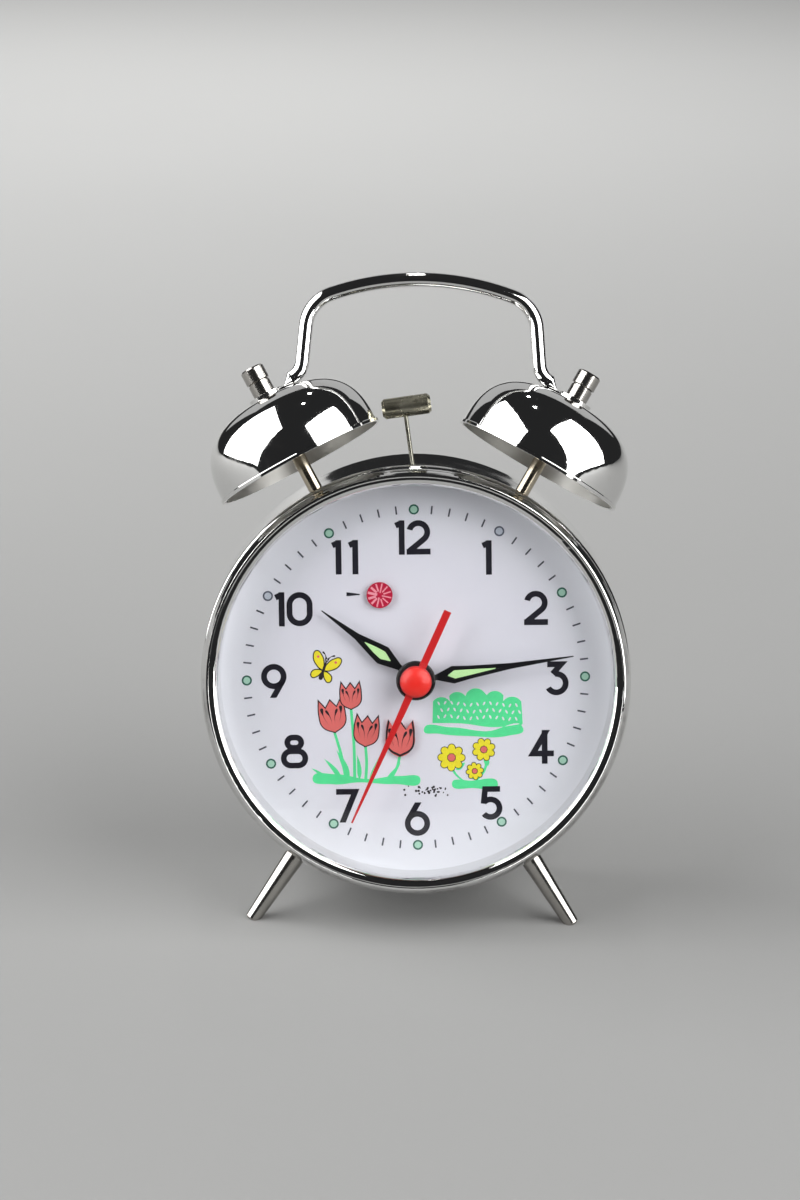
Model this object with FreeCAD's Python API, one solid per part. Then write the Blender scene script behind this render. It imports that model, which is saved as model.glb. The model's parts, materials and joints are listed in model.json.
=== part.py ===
# Wind-up twin-bell desk clock, every piece its own solid, in millimetres.
# Pieces are drawn upright, with the drum's axis along Y and its front at y = 0, then leaned back together.
# X is to the right, Y into the clock and Z up. Angles named cw are clockwise from 12, seen from the front.
import math
import os

import FreeCAD
import Part

V = FreeCAD.Vector

# Fits and small clearances
running_fit = 0.05
loose_fit = 0.3
seat_gap = 0.1

# Case drum: it widens a little towards the back and ends in a rolled rim
drum_front_radius = 52.6
drum_widening = 2.7
drum_start = 5.0
drum_end = 50.0
drum_wall = 0.7
rim_roll = 2.2
rim_lip_width = 4.1

# Bezel, crystal, spacer ring and dial
bezel_nose_overhang = 0.1
bezel_crest_inset = 1.65
bezel_face_width = 4.0
bezel_lip_depth = 3.2
bezel_end = 11.4
bezel_bead_height = 0.7
bezel_sheet = 0.5
crystal_lap = 1.2
crystal_apex = 1.2
crystal_edge = 3.4
crystal_thickness = 1.2
dial_front = 12.0
dial_thickness = 0.5
dial_edge_gap = 0.7
spacer_wall = 0.9
spacer_taper = 0.4

# Movement plates and pillars
front_plate_start = 18.5
plate_thickness = 1.4
plate_gap = 18.1
plate_radius = 45.5
plate_top = 34.0
plate_bottom = 43.0
pillar_radius = 2.5
pillar_neck_radius = 1.5
pillar_spots = ((38.0, 18.0), (-38.0, 18.0), (20.0, -38.0), (-20.0, -38.0))
pillar_nut_radius = 2.8
pillar_nut_height = 1.8
dial_foot_radius = 1.2
dial_foot_spots = ((30.0, 24.0), (-30.0, -26.0))

# Back cover and its screws
cover_thickness = 0.8
cover_edge_gap = 0.7
screw_shank_radius = 1.2
screw_head_radius = 2.4
screw_head_height = 1.3
screw_slot = 0.6

# Bell posts, bells, nuts and handle, drawn in a plane that leans back through the drum
bell_spread_angle = 29.05
bell_lean = 6.5
bell_plane_start = 16.0
bell_rim_distance = 62.0
bell_radius = 22.4
bell_height = 18.6
bell_wall = 0.8
bell_lip = 0.35
bell_squareness = 2.8
post_radius = 1.8
post_thread_radius = 1.5
post_washer_radius = 4.0
post_washer_height = 0.8
post_nut_radius = 3.2
post_nut_height = 2.2
bell_nut_radius = 3.1
bell_nut_height = 7.6
bell_nut_base_radius = 2.9
bell_nut_base_height = 3.3
bell_nut_groove_depth = 0.25
handle_rod_radius = 1.82
handle_arch_radius = 69.0
handle_arch_half_angle = 19.5
handle_top = 101.25
handle_shoulder_radius = 9.4
handle_leg_lean = 4.9
handle_leg_x = 30.49
handle_bend_radius = 5.0
handle_eyelet_radius = 4.5
handle_eyelet_thickness = 0.9
handle_tail_rise = 1.6
handle_tail_start = 7.7
handle_tail_end = 5.4

# Hammer
hammer_plane = 23.4
hammer_head_length = 12.5
hammer_head_radius = 2.6
hammer_head_chamfer = 0.7
hammer_head_offset = 0.5
hammer_head_x = -4.0
hammer_head_z = 68.4
hammer_bend_x = -1.15
hammer_bend_z = 50.0
hammer_wire_radius = 0.55
hammer_slot_left = 4.6
hammer_slot_right = 8.0
hammer_slot_half_width = 1.5

# Legs
leg_angle = 33.0
leg_plane = 15.0
leg_reach = 76.0
leg_foot_cut = 0.5
leg_collar_radius = 3.1
leg_collar_height = 1.1
leg_top_radius = 2.7
leg_tip_radius = 1.95
leg_straight = 2.0
leg_thread_radius = 1.6
leg_nut_radius = 2.7
leg_nut_height = 2.2

# Hands
hour_hand_length = 29.6
hour_hand_cw = 305.4
hour_hand_front = 9.8
minute_hand_length = 40.3
minute_hand_cw = 80.3
minute_hand_front = 7.9
hand_thickness = 0.4
minute_hub_radius = 5.0
minute_hub_front = 7.0
second_hand_length = 39.6
second_tail_length = 19.6
second_hand_cw = 203.3
second_hand_front = 5.2
second_hub_radius = 4.0
second_hub_front = 3.1
lume_slot_depth = 0.15

# Alarm disc, tulip and rear controls
alarm_disc_radius = 3.3
alarm_disc_thickness = 0.5
alarm_disc_front = 10.9
tulip_height = 9.6
tulip_half_width = 3.7
tulip_thickness = 0.3
tulip_front = 11.2
knob_radius = 5.6
knob_height = 7.0
knob_gap = 1.6
key_hub_radius = 3.4
key_hub_height = 8.0
key_wing_span = 23.0
key_wing_height = 8.6
key_wing_thickness = 1.8
stop_knob_radius = 3.2
stop_knob_height = 4.0
stop_rod_radius = 1.2
stop_travel = 3.5
stop_spot = (-31.0, 27.5)

# Arbors and the fixed centre tube
arbor_radius = 0.8
thin_arbor_radius = 0.6
pivot_radius = 0.45
seconds_arbor_radius = 0.7
centre_tube_radius = 1.5
cannon_radius = 2.1
hour_pipe_radius = 2.75
set_arbor_radius = 1.1
barrel_arbor_radius = 2.6
barrel_thread_radius = 1.8
barrel_pivot_radius = 1.6

# Springs
mainspring_radius = 16.0
mainspring_inner_radius = 3.1
mainspring_turns = 8
mainspring_thickness = 0.5
mainspring_start = 25.8
mainspring_width = 9.4
hairspring_inner_radius = 2.0
hairspring_pitch = 0.9
hairspring_turns = 4
hairspring_thickness = 0.16
hairspring_start = 34.4
hairspring_width = 0.8

# Wheel counts and modules
great_teeth = 60
centre_pinion_teeth = 10
great_module = 0.55
centre_teeth = 64
third_pinion_teeth = 8
centre_module = 0.34
third_teeth = 60
fourth_pinion_teeth = 8
third_module = 0.36
fourth_teeth = 64
escape_pinion_teeth = 8
fourth_module = 0.30
cannon_teeth = 14
minute_teeth = 42
minute_pinion_teeth = 12
hour_teeth = 48
alarm_pinion_teeth = 8
escape_teeth = 15
escape_tip_radius = 6.2
ratchet_teeth = 16
ratchet_radius = 6.0

# Wheel places: the barrels, the alarm arbor and the centre wheel set the rest
barrel_x = 30.5
barrel_z = -4.0
alarm_spot = (-9.52, 21.21)
centre_wheel_distance = 18.0
escape_wheel_cw = 210.0
pallet_distance = 9.5
balance_distance = 12.5
pallet_cw = 170.0
alarm_escape_cw = 20.0
hammer_arbor_cw = 20.0
hammer_arbor_distance = 10.0

# Balance
balance_radius = 11.0
balance_rim_width = 1.3
balance_rim_start = 31.4
balance_rim_height = 1.6
balance_staff_radius = 0.6
roller_radius = 3.2
impulse_radius = 2.6
pivot_screw_radius = 1.7
regulator_length = 12.0
regulator_tab_width = 2.0
regulator_thickness = 0.6
regulator_swing = 15.0
curb_pin_radius = 0.15

# Values worked out from the ones above
dial_back = dial_front + dial_thickness
front_plate_end = front_plate_start + plate_thickness
back_plate_start = front_plate_end + plate_gap
back_plate_end = back_plate_start + plate_thickness
cover_end = drum_end - drum_wall
cover_start = cover_end - cover_thickness
drum_back_radius = drum_front_radius + drum_widening
roll_start = drum_end - rim_roll
drum_slope = drum_widening / (roll_start - drum_start)
roll_centre = drum_back_radius - rim_roll
rim_lip_radius = roll_centre - rim_lip_width
cover_radius = roll_centre - cover_edge_gap
dial_radius = drum_front_radius - drum_wall - dial_edge_gap
minute_hand_end = minute_hand_front + hand_thickness


def drum_radius_at(y):
    """Outer radius of the drum at depth y."""
    return drum_front_radius + drum_slope * (y - drum_start)


bezel_skirt_radius = drum_radius_at(bezel_end) + seat_gap + bezel_sheet
bezel_nose_radius = bezel_skirt_radius + bezel_nose_overhang
bezel_crest_radius = bezel_skirt_radius - bezel_crest_inset
bezel_lip_radius = bezel_skirt_radius - bezel_face_width
crystal_radius = bezel_lip_radius + crystal_lap


def polar(cw, distance, centre=(0.0, 0.0)):
    """Point at a clock angle and distance from a centre, as x and z."""
    a = math.radians(cw)
    return (centre[0] + distance * math.sin(a), centre[1] + distance * math.cos(a))


def meet(a, radius_a, b, radius_b, side):
    """Where two circles cross, on the left (1) or right (-1) of the way from a to b."""
    dx = b[0] - a[0]
    dz = b[1] - a[1]
    d = math.hypot(dx, dz)
    along = (radius_a ** 2 - radius_b ** 2 + d * d) / (2 * d)
    off = side * math.sqrt(radius_a ** 2 - along ** 2)
    return (a[0] + (along * dx - off * dz) / d, a[1] + (along * dz + off * dx) / d)


def mesh_distance(teeth_a, teeth_b, module):
    """Centre distance of two meshing wheels."""
    return (teeth_a + teeth_b) * module / 2


centre_spot = (0.0, 0.0)
time_barrel = (barrel_x, barrel_z)
alarm_barrel = (-barrel_x, barrel_z)
centre_wheel_spot = meet(
    time_barrel,
    mesh_distance(great_teeth, centre_pinion_teeth, great_module),
    centre_spot,
    centre_wheel_distance,
    -1,
)
third_spot = meet(
    centre_wheel_spot,
    mesh_distance(centre_teeth, third_pinion_teeth, centre_module),
    centre_spot,
    mesh_distance(third_teeth, fourth_pinion_teeth, third_module),
    1,
)
hour_module = math.hypot(*alarm_spot) / hour_teeth
minute_reach = mesh_distance(hour_teeth, minute_pinion_teeth, hour_module)
minute_module = 2 * minute_reach / (cannon_teeth + minute_teeth)
minute_spot = meet(centre_wheel_spot, minute_reach, centre_spot, minute_reach, -1)
escape_spot = polar(escape_wheel_cw, mesh_distance(fourth_teeth, escape_pinion_teeth, fourth_module))
pallet_spot = polar(pallet_cw, pallet_distance, escape_spot)
balance_spot = polar(pallet_cw, balance_distance, pallet_spot)
alarm_escape_spot = polar(
    alarm_escape_cw, mesh_distance(great_teeth, alarm_pinion_teeth, great_module), alarm_barrel
)
hammer_spot = polar(hammer_arbor_cw, hammer_arbor_distance, alarm_escape_spot)


def rod(spot, radius, start, end):
    """Round bar along the drum's axis direction."""
    return Part.makeCylinder(radius, end - start, V(spot[0], start, spot[1]), V(0, 1, 0))


def tube(spot, outer, inner, start, end):
    """Round tube along the drum's axis direction."""
    return rod(spot, outer, start, end).cut(rod(spot, inner, start - 1, end + 1))


def joined(shapes):
    """One solid from touching or crossing shapes."""
    shapes = list(shapes)
    return shapes[0].multiFuse(shapes[1:]).removeSplitter()


def outline(points):
    """Closed wire from corner points. A corner given as ('arc', middle, end) ends an arc."""
    edges = []
    last = points[0]
    for point in points[1:] + points[:1]:
        if isinstance(point[0], str):
            edges.append(Part.Arc(last, point[1], point[2]).toShape())
            last = point[2]
        elif (point - last).Length > 1e-7:
            edges.append(Part.makeLine(last, point))
            last = point
    return Part.Wire(edges)


def spun(points, spot=(0.0, 0.0)):
    """Solid of revolution about the drum's axis direction, from (radius, depth) points."""

    def place(p):
        if isinstance(p[0], str):
            return ("arc", place(p[1]), place(p[2]))
        return V(p[0], p[1], 0)

    face = Part.Face(outline([place(p) for p in points]))
    solid = face.revolve(V(0, 0, 0), V(0, 1, 0), 360)
    solid.translate(V(spot[0], 0, spot[1]))
    return solid


def sheet(points, start, end):
    """Flat piece of an (x, z) outline between two depths."""

    def place(p):
        if isinstance(p[0], str):
            return ("arc", place(p[1]), place(p[2]))
        return V(p[0], start, p[1])

    return Part.Face(outline([place(p) for p in points])).extrude(V(0, end - start, 0))


def turned(shape, cw, spot=(0.0, 0.0)):
    """Copy of a shape turned clockwise, seen from the front, about a spot."""
    copy = shape.copy()
    copy.rotate(V(spot[0], 0, spot[1]), V(0, 1, 0), cw)
    return copy


def hexagon(spot, across, start, end):
    """Hexagonal nut body; across is its corner radius."""
    corners = [polar(60 * k, across, spot) for k in range(6)]
    return sheet(corners, start, end)


# Toothed wheels. A tooth is given by its width shares of the pitch at four radii.
WHEEL_TOOTH = dict(root=0.52, pitch=0.45, flank=0.36, tip=0.15, addendum=0.95, dedendum=1.15)
PINION_TOOTH = dict(root=0.36, pitch=0.38, flank=0.32, tip=0.16, addendum=0.75, dedendum=1.25)
FLANK_PLACE = 0.55


def gear_blank(spot, teeth, module, tooth, phase, start, end):
    """Toothed disc whose first tooth points at phase radians, measured from X towards Z."""
    pitch_radius = teeth * module / 2
    step = 2 * math.pi / teeth
    profile = (
        (pitch_radius - tooth["dedendum"] * module, tooth["root"]),
        (pitch_radius, tooth["pitch"]),
        (pitch_radius + FLANK_PLACE * tooth["addendum"] * module, tooth["flank"]),
        (pitch_radius + tooth["addendum"] * module, tooth["tip"]),
    )
    corners = []
    for k in range(teeth):
        middle = phase + k * step
        sides = [(r, middle - w * step / 2) for r, w in profile]
        sides += [(r, middle + w * step / 2) for r, w in reversed(profile)]
        corners += [(spot[0] + r * math.cos(a), spot[1] + r * math.sin(a)) for r, a in sides]
    return sheet(corners, start, end)


def meshed_phase(spot_a, teeth_a, phase_a, spot_b, teeth_b):
    """Phase that sets a tooth of wheel b in a gap of wheel a."""
    towards = math.atan2(spot_b[1] - spot_a[1], spot_b[0] - spot_a[0])
    share = (towards - phase_a) * teeth_a / (2 * math.pi)
    return towards + math.pi - (2 * math.pi / teeth_b) * (0.5 - share)


def crossed_out(wheel, spot, inner, outer, arms, arm_width, start, end):
    """A wheel with the spaces between its arms cut away."""
    windows = tube(spot, outer, inner, start - 1, end + 1)
    bars = []
    for k in range(arms):
        bar = Part.makeBox(outer + 1, end - start + 4, arm_width, V(0, start - 2, -arm_width / 2))
        bar.rotate(V(0, 0, 0), V(0, 1, 0), 360.0 * k / arms)
        bar.translate(V(spot[0], 0, spot[1]))
        bars.append(bar)
    return wheel.cut(windows.cut(joined(bars)))


def ratchet_wheel(spot, radius, teeth, start, end):
    """Saw-toothed wheel on a spring arbor."""
    corners = []
    for k in range(teeth):
        corners.append(polar(360.0 * k / teeth, radius, spot))
        corners.append(polar(360.0 * k / teeth + 2.0, radius - 1.2, spot))
    return sheet(corners, start, end)


def escape_blank(spot, radius, teeth, start, end):
    """Wheel with long pointed teeth that lean one way."""
    corners = []
    step = 360.0 / teeth
    for k in range(teeth):
        corners.append(polar(step * k, radius, spot))
        corners.append(polar(step * k + 0.16 * step, radius - 0.1, spot))
        corners.append(polar(step * k + 0.38 * step, radius - 1.9, spot))
        corners.append(polar(step * k + 0.80 * step, radius - 1.9, spot))
    wheel = sheet(corners, start, end)
    return crossed_out(wheel, spot, radius * 0.30, radius - 2.7, 4, 0.9, start, end)


def pivoted(spot, radius, start=None, end=None):
    """Arbor between the plates with a thin pivot in each."""
    first = front_plate_end + 0.3 if start is None else start
    last = back_plate_start - 0.3 if end is None else end
    shaft = rod(spot, radius, first, last)
    pivots = rod(spot, pivot_radius, front_plate_start + 0.3, back_plate_end - 0.3)
    return [shaft, pivots]


nodes = {}


# Case drum with its rolled back rim
roll_diagonal = rim_roll * math.sqrt(0.5)
inner_roll = rim_roll - drum_wall
inner_diagonal = inner_roll * math.sqrt(0.5)
drum = spun([
    (drum_front_radius, drum_start),
    (drum_back_radius, roll_start),
    ("arc", (roll_centre + roll_diagonal, roll_start + roll_diagonal), (roll_centre, drum_end)),
    (rim_lip_radius, drum_end),
    (rim_lip_radius, cover_end),
    (roll_centre, cover_end),
    ("arc", (roll_centre + inner_diagonal, roll_start + inner_diagonal),
     (roll_centre + inner_roll, roll_start)),
    (drum_front_radius - drum_wall, drum_start),
])


def in_bell_plane(shape):
    """Lean a shape drawn at y = 0 back into the plane of the bells."""
    shape.rotate(V(0, 0, 0), V(1, 0, 0), -bell_lean)
    shape.translate(V(0, bell_plane_start, 0))
    return shape


def on_bell_axis(shape, side):
    """Swing a shape drawn along Z out to a bell's axis, then lean it back."""
    shape.rotate(V(0, 0, 0), V(0, 1, 0), side * bell_spread_angle)
    return in_bell_plane(shape)


def upright(points):
    """Solid of revolution about Z, from (radius, height) points."""

    def place(p):
        if isinstance(p[0], str):
            return ("arc", place(p[1]), place(p[2]))
        return V(p[0], 0, p[1])

    return Part.Face(outline([place(p) for p in points])).revolve(V(0, 0, 0), V(0, 0, 1), 360)


def upright_rod(radius, start, end):
    """Round bar along Z."""
    return Part.makeCylinder(radius, end - start, V(0, 0, start))


def upright_hexagon(across, start, end):
    """Hexagonal nut along Z."""
    angles = [k * math.pi / 3 for k in range(6)]
    corners = [V(across * math.cos(a), across * math.sin(a), start) for a in angles]
    return Part.Face(outline(corners)).extrude(V(0, 0, end - start))


# Where the leaning post axis passes the drum's wall, measured along that axis
post_depth_at_wall = bell_plane_start + drum_front_radius * math.sin(math.radians(bell_lean))
post_wall_outer = drum_radius_at(post_depth_at_wall)
post_wall_inner = post_wall_outer - drum_wall
post_shoulder = post_wall_outer + 0.5
bell_top = bell_rim_distance + bell_height
leg_wall_outer = drum_radius_at(leg_plane)
leg_wall_inner = leg_wall_outer - drum_wall
leg_shoulder = leg_wall_outer + 0.3


def on_leg_axis(shape, side):
    """Swing a shape drawn along Z out to a leg's axis."""
    shape.rotate(V(0, 0, 0), V(0, 1, 0), side * (180 - leg_angle))
    shape.translate(V(0, leg_plane, 0))
    return shape


slot_length = hammer_slot_left + hammer_slot_right
slot_corner = V(-hammer_slot_left, hammer_plane - hammer_slot_half_width, 45)
slot_cut = Part.makeBox(slot_length, 2 * hammer_slot_half_width, 20, slot_corner)
drum = drum.cut(slot_cut)
for side in (-1, 1):
    drum = drum.cut(on_bell_axis(upright_rod(post_thread_radius + seat_gap, 45, 60), side))
    drum = drum.cut(on_leg_axis(upright_rod(leg_thread_radius + seat_gap, 45, 60), side))
nodes["case_drum"] = [drum]

# Bezel: a pressed ring with a rounded nose and two beads, open behind
inner_skirt = bezel_skirt_radius - bezel_sheet
bead_reach = bezel_skirt_radius + bezel_bead_height
nodes["bezel"] = [spun([
    (bezel_lip_radius, bezel_lip_depth),
    ("arc", (bezel_lip_radius + 0.75, 0.95), (bezel_crest_radius, 0.0)),
    ("arc", (bezel_nose_radius - 0.45, 1.05), (bezel_nose_radius, 3.4)),
    (bezel_skirt_radius, 5.4),
    ("arc", (bead_reach, 6.7), (bezel_skirt_radius, 8.0)),
    (bezel_skirt_radius, 8.8),
    ("arc", (bead_reach, 10.1), (bezel_skirt_radius, bezel_end)),
    (inner_skirt, bezel_end),
    (inner_skirt, 3.6),
    ("arc", (inner_skirt - 0.35, 1.5), (bezel_crest_radius, bezel_sheet)),
    ("arc", (bezel_lip_radius + 1.2, 1.3), (bezel_lip_radius + bezel_sheet, bezel_lip_depth)),
])]

# Crystal: a shallow dome of even thickness
dome_rise = crystal_edge - crystal_apex
dome_radius = (crystal_radius ** 2 + dome_rise ** 2) / (2 * dome_rise)
outer_middle = crystal_apex + dome_radius - math.sqrt(dome_radius ** 2 - crystal_radius ** 2 / 4)
inner_apex = crystal_apex + crystal_thickness
nodes["crystal"] = [spun([
    (0.0, crystal_apex),
    ("arc", (crystal_radius / 2, outer_middle), (crystal_radius, crystal_edge)),
    (crystal_radius, crystal_edge + crystal_thickness),
    ("arc", (crystal_radius / 2, outer_middle + crystal_thickness), (0.0, inner_apex)),
])]

# Spacer ring between crystal and dial, slightly conical inside
spacer_start = crystal_edge + crystal_thickness
spacer_outer = crystal_radius + seat_gap
nodes["spacer_ring"] = [spun([
    (spacer_outer - spacer_wall, spacer_start),
    (spacer_outer, spacer_start),
    (spacer_outer, dial_front),
    (spacer_outer - spacer_wall - spacer_taper, dial_front),
])]

# Dial with holes for the hands, the alarm arbor and the pallet arbor
dial = rod(centre_spot, dial_radius, dial_front, dial_back)
dial = dial.cut(rod(centre_spot, hour_pipe_radius + loose_fit, dial_front - 1, dial_back + 1))
dial = dial.cut(rod(alarm_spot, set_arbor_radius + loose_fit, dial_front - 1, dial_back + 1))
dial = dial.cut(rod(pallet_spot, thin_arbor_radius + loose_fit, dial_front - 1, dial_back + 1))
nodes["dial"] = [dial]
nodes["dial_feet"] = [rod(spot, dial_foot_radius, dial_back, front_plate_start) for spot in dial_foot_spots]


# Movement plates
def plate_blank(start, end):
    """Round plate with a flat top and bottom."""
    disc = rod(centre_spot, plate_radius, start, end)
    height = plate_top + plate_bottom
    keep = Part.makeBox(2 * plate_radius, end - start, height, V(-plate_radius, start, -plate_bottom))
    return disc.common(keep)


both_pivots = [third_spot, escape_spot, pallet_spot, alarm_escape_spot, hammer_spot]
barrels = [time_barrel, alarm_barrel]
set_arbors = [minute_spot, alarm_spot]
front_holes = [(spot, pivot_radius) for spot in both_pivots if spot != pallet_spot]
front_holes += [(spot, barrel_pivot_radius) for spot in barrels]
front_holes += [(spot, set_arbor_radius) for spot in set_arbors]
front_holes += [(centre_wheel_spot, arbor_radius), (pallet_spot, thin_arbor_radius)]
back_holes = [(spot, pivot_radius) for spot in both_pivots + [centre_wheel_spot, centre_spot]]
back_holes += [(spot, barrel_thread_radius) for spot in barrels]
back_holes += [(spot, set_arbor_radius) for spot in set_arbors]
back_holes += [(stop_spot, stop_rod_radius)]



def drilled(plate, holes, start, end):
    """Plate with round holes from (spot, radius) pairs."""
    for spot, radius in holes:
        plate = plate.cut(rod(spot, radius, start - 1, end + 1))
    return plate


pillar_holes = [(spot, pillar_neck_radius) for spot in pillar_spots]
screw_hole = [(balance_spot, pivot_screw_radius)]
centre_tube_start = minute_hand_front + 1.2
centre_bore = seconds_arbor_radius + running_fit
bearings = [(spot, radius + running_fit) for spot, radius in front_holes]
front_plate = plate_blank(front_plate_start, front_plate_end)
front_plate = drilled(front_plate, bearings + pillar_holes + screw_hole, front_plate_start, front_plate_end)
centre_tube = rod(centre_spot, centre_tube_radius, centre_tube_start, front_plate_end)
front_plate = joined([front_plate, centre_tube])
front_plate = drilled(front_plate, [(centre_spot, centre_bore)], centre_tube_start, front_plate_end)
nodes["front_plate"] = [front_plate]

bearings = [(spot, radius + running_fit) for spot, radius in back_holes]
back_plate = plate_blank(back_plate_start, back_plate_end)
back_plate = drilled(back_plate, bearings + pillar_holes + screw_hole, back_plate_start, back_plate_end)


def arc_window(inner, outer, half_angle, start, end):
    """Cutter for a slot that follows an arc above the balance."""
    ring = tube(balance_spot, outer, inner, start - 1, end + 1)
    far = 4 * outer
    corners = [balance_spot, polar(-half_angle, far, balance_spot), polar(half_angle, far, balance_spot)]
    return ring.common(sheet(corners, start - 1, end + 1))


# Window in the back plate for the regulator's two curb pins, one on each side of the outer coil
curb_coil_radius = hairspring_inner_radius + hairspring_pitch * (hairspring_turns - 0.5)
curb_offset = hairspring_pitch / 2
curb_reach = curb_offset + curb_pin_radius + loose_fit
curb_window = arc_window(
    curb_coil_radius - curb_reach,
    curb_coil_radius + curb_reach,
    regulator_swing + 8,
    back_plate_start,
    back_plate_end,
)
nodes["back_plate"] = [back_plate.cut(curb_window)]

# Pillars between the plates, nuts in front and long spacer nuts behind, up to the cover
pillars = []
front_nuts = []
spacer_nuts = []
cover_screws = []
thread_end = back_plate_end + 3.0
screw_end = cover_start - 4.0
for spot in pillar_spots:
    pillars.append(joined([
        rod(spot, pillar_radius, front_plate_end, back_plate_start),
        rod(spot, pillar_neck_radius, front_plate_start - pillar_nut_height, thread_end),
    ]))
    nut = hexagon(spot, pillar_nut_radius, front_plate_start - pillar_nut_height, front_plate_start)
    front_nuts.append(nut.cut(rod(spot, pillar_neck_radius, 0, drum_end)))
    spacer = hexagon(spot, pillar_nut_radius, back_plate_end, cover_start)
    spacer = spacer.cut(rod(spot, pillar_neck_radius, back_plate_end - 1, thread_end))
    spacer_nuts.append(spacer.cut(rod(spot, screw_shank_radius, screw_end, cover_start + 1)))
    head_top = cover_end + screw_head_height
    head = spun([
        (0.0, cover_end),
        (screw_head_radius, cover_end),
        (screw_head_radius, cover_end + 0.4),
        ("arc", (screw_head_radius * 0.62, cover_end + screw_head_height * 0.8), (0.0, head_top)),
    ], spot)
    slot = Part.makeBox(8, 1, screw_slot, V(spot[0] - 4, head_top - screw_slot, spot[1] - screw_slot / 2))
    shank = rod(spot, screw_shank_radius, screw_end, cover_end)
    cover_screws.append(joined([head.cut(slot), shank]))
nodes["pillars"] = pillars
nodes["pillar_nuts"] = front_nuts
nodes["spacer_nuts"] = spacer_nuts
nodes["cover_screws"] = cover_screws

# Back cover, with a raised ring, the control holes and the regulator's slot
cover = rod(centre_spot, cover_radius, cover_start, cover_end)
for spot in pillar_spots:
    cover = cover.cut(rod(spot, screw_shank_radius + seat_gap, cover_start - 1, cover_end + 1))
for spot in barrels:
    cover = cover.cut(rod(spot, barrel_thread_radius + 0.6, cover_start - 1, cover_end + 1))
for spot in set_arbors:
    cover = cover.cut(rod(spot, set_arbor_radius + 0.5, cover_start - 1, cover_end + 1))
cover = cover.cut(rod(stop_spot, stop_rod_radius + 0.2, cover_start - 1, cover_end + 1))
slot_half = regulator_swing + math.degrees(regulator_tab_width / regulator_length)
cover_slot = arc_window(regulator_length - 1.4, regulator_length + 1.4, slot_half, cover_start, cover_end)
nodes["back_cover"] = [cover.cut(cover_slot)]


# Bell posts, inner nuts, bells and bell nuts
def bell_curve(shrink):
    """Points of the dome's section, drawn in by a wall thickness, from rim to crown."""
    a = bell_radius - shrink
    b = bell_height - shrink
    points = []
    for k in range(11):
        t = math.radians(90.0 * k / 10)
        across = a * math.cos(t) ** (2 / bell_squareness)
        up = b * math.sin(t) ** (2 / bell_squareness)
        points.append(V(across if k < 10 else 0.0, 0, bell_rim_distance + up))
    return points


def dome_edge(points):
    """Smooth curve through the section points, upright at the rim and level at the crown."""
    curve = Part.BSplineCurve()
    curve.interpolate(Points=points, InitialTangent=V(0, 0, 1), FinalTangent=V(-1, 0, 0))
    return curve.toShape()


def bell_body():
    """Bell open at its rim, with a small rolled lip and a hole at its crown."""
    outer_points = bell_curve(0.0)
    inner_points = bell_curve(bell_wall)
    wire = Part.Wire([
        dome_edge(outer_points),
        Part.makeLine(outer_points[-1], inner_points[-1]),
        dome_edge(inner_points),
        Part.makeLine(inner_points[0], outer_points[0]),
    ])
    body = Part.Face(wire).revolve(V(0, 0, 0), V(0, 0, 1), 360)
    lip = upright([
        (bell_radius - bell_wall / 2, bell_rim_distance),
        (bell_radius + bell_lip, bell_rim_distance),
        (bell_radius + bell_lip, bell_rim_distance + 0.7),
        (bell_radius - bell_wall / 2, bell_rim_distance + 1.2),
    ])
    body = joined([body, lip])
    return body.cut(upright_rod(post_thread_radius + seat_gap, bell_rim_distance, bell_top + 1))


post_thread_end = bell_top + handle_eyelet_thickness + bell_nut_height - 2.0
washer_end = bell_top - bell_wall - seat_gap
eyelet_end = bell_top + handle_eyelet_thickness
groove_start = eyelet_end + bell_nut_base_height
nut_end = eyelet_end + bell_nut_height
for side, word in ((-1, "left"), (1, "right")):
    post = joined([
        upright_rod(post_thread_radius, post_wall_inner - post_nut_height - 0.8, post_thread_end),
        upright_rod(post_radius, post_shoulder, washer_end),
        upright_rod(post_washer_radius, washer_end - post_washer_height, washer_end),
    ])
    nodes[f"bell_post_{word}"] = [on_bell_axis(post, side)]
    nodes[f"bell_{word}"] = [on_bell_axis(bell_body(), side)]

post_nuts = []
bell_nuts = []
post_nut_end = post_wall_inner - 0.25
for side in (-1, 1):
    nut = upright_hexagon(post_nut_radius, post_nut_end - post_nut_height, post_nut_end)
    nut = nut.cut(upright_rod(post_thread_radius, 40, 60))
    post_nuts.append(on_bell_axis(nut, side))
    cap = upright([
        (0.0, eyelet_end),
        (bell_nut_base_radius - 0.2, eyelet_end),
        (bell_nut_base_radius, eyelet_end + 0.2),
        (bell_nut_base_radius, groove_start),
        (bell_nut_base_radius - bell_nut_groove_depth, groove_start),
        (bell_nut_base_radius - bell_nut_groove_depth, groove_start + 0.35),
        (bell_nut_radius, groove_start + 0.6),
        (bell_nut_radius, nut_end - 0.4),
        (bell_nut_radius - 0.4, nut_end),
        (0.0, nut_end),
    ])
    cap = cap.cut(upright_rod(post_thread_radius, eyelet_end - 1, post_thread_end))
    bell_nuts.append(on_bell_axis(cap, side))
nodes["post_nuts"] = post_nuts
nodes["bell_nuts"] = bell_nuts


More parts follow.
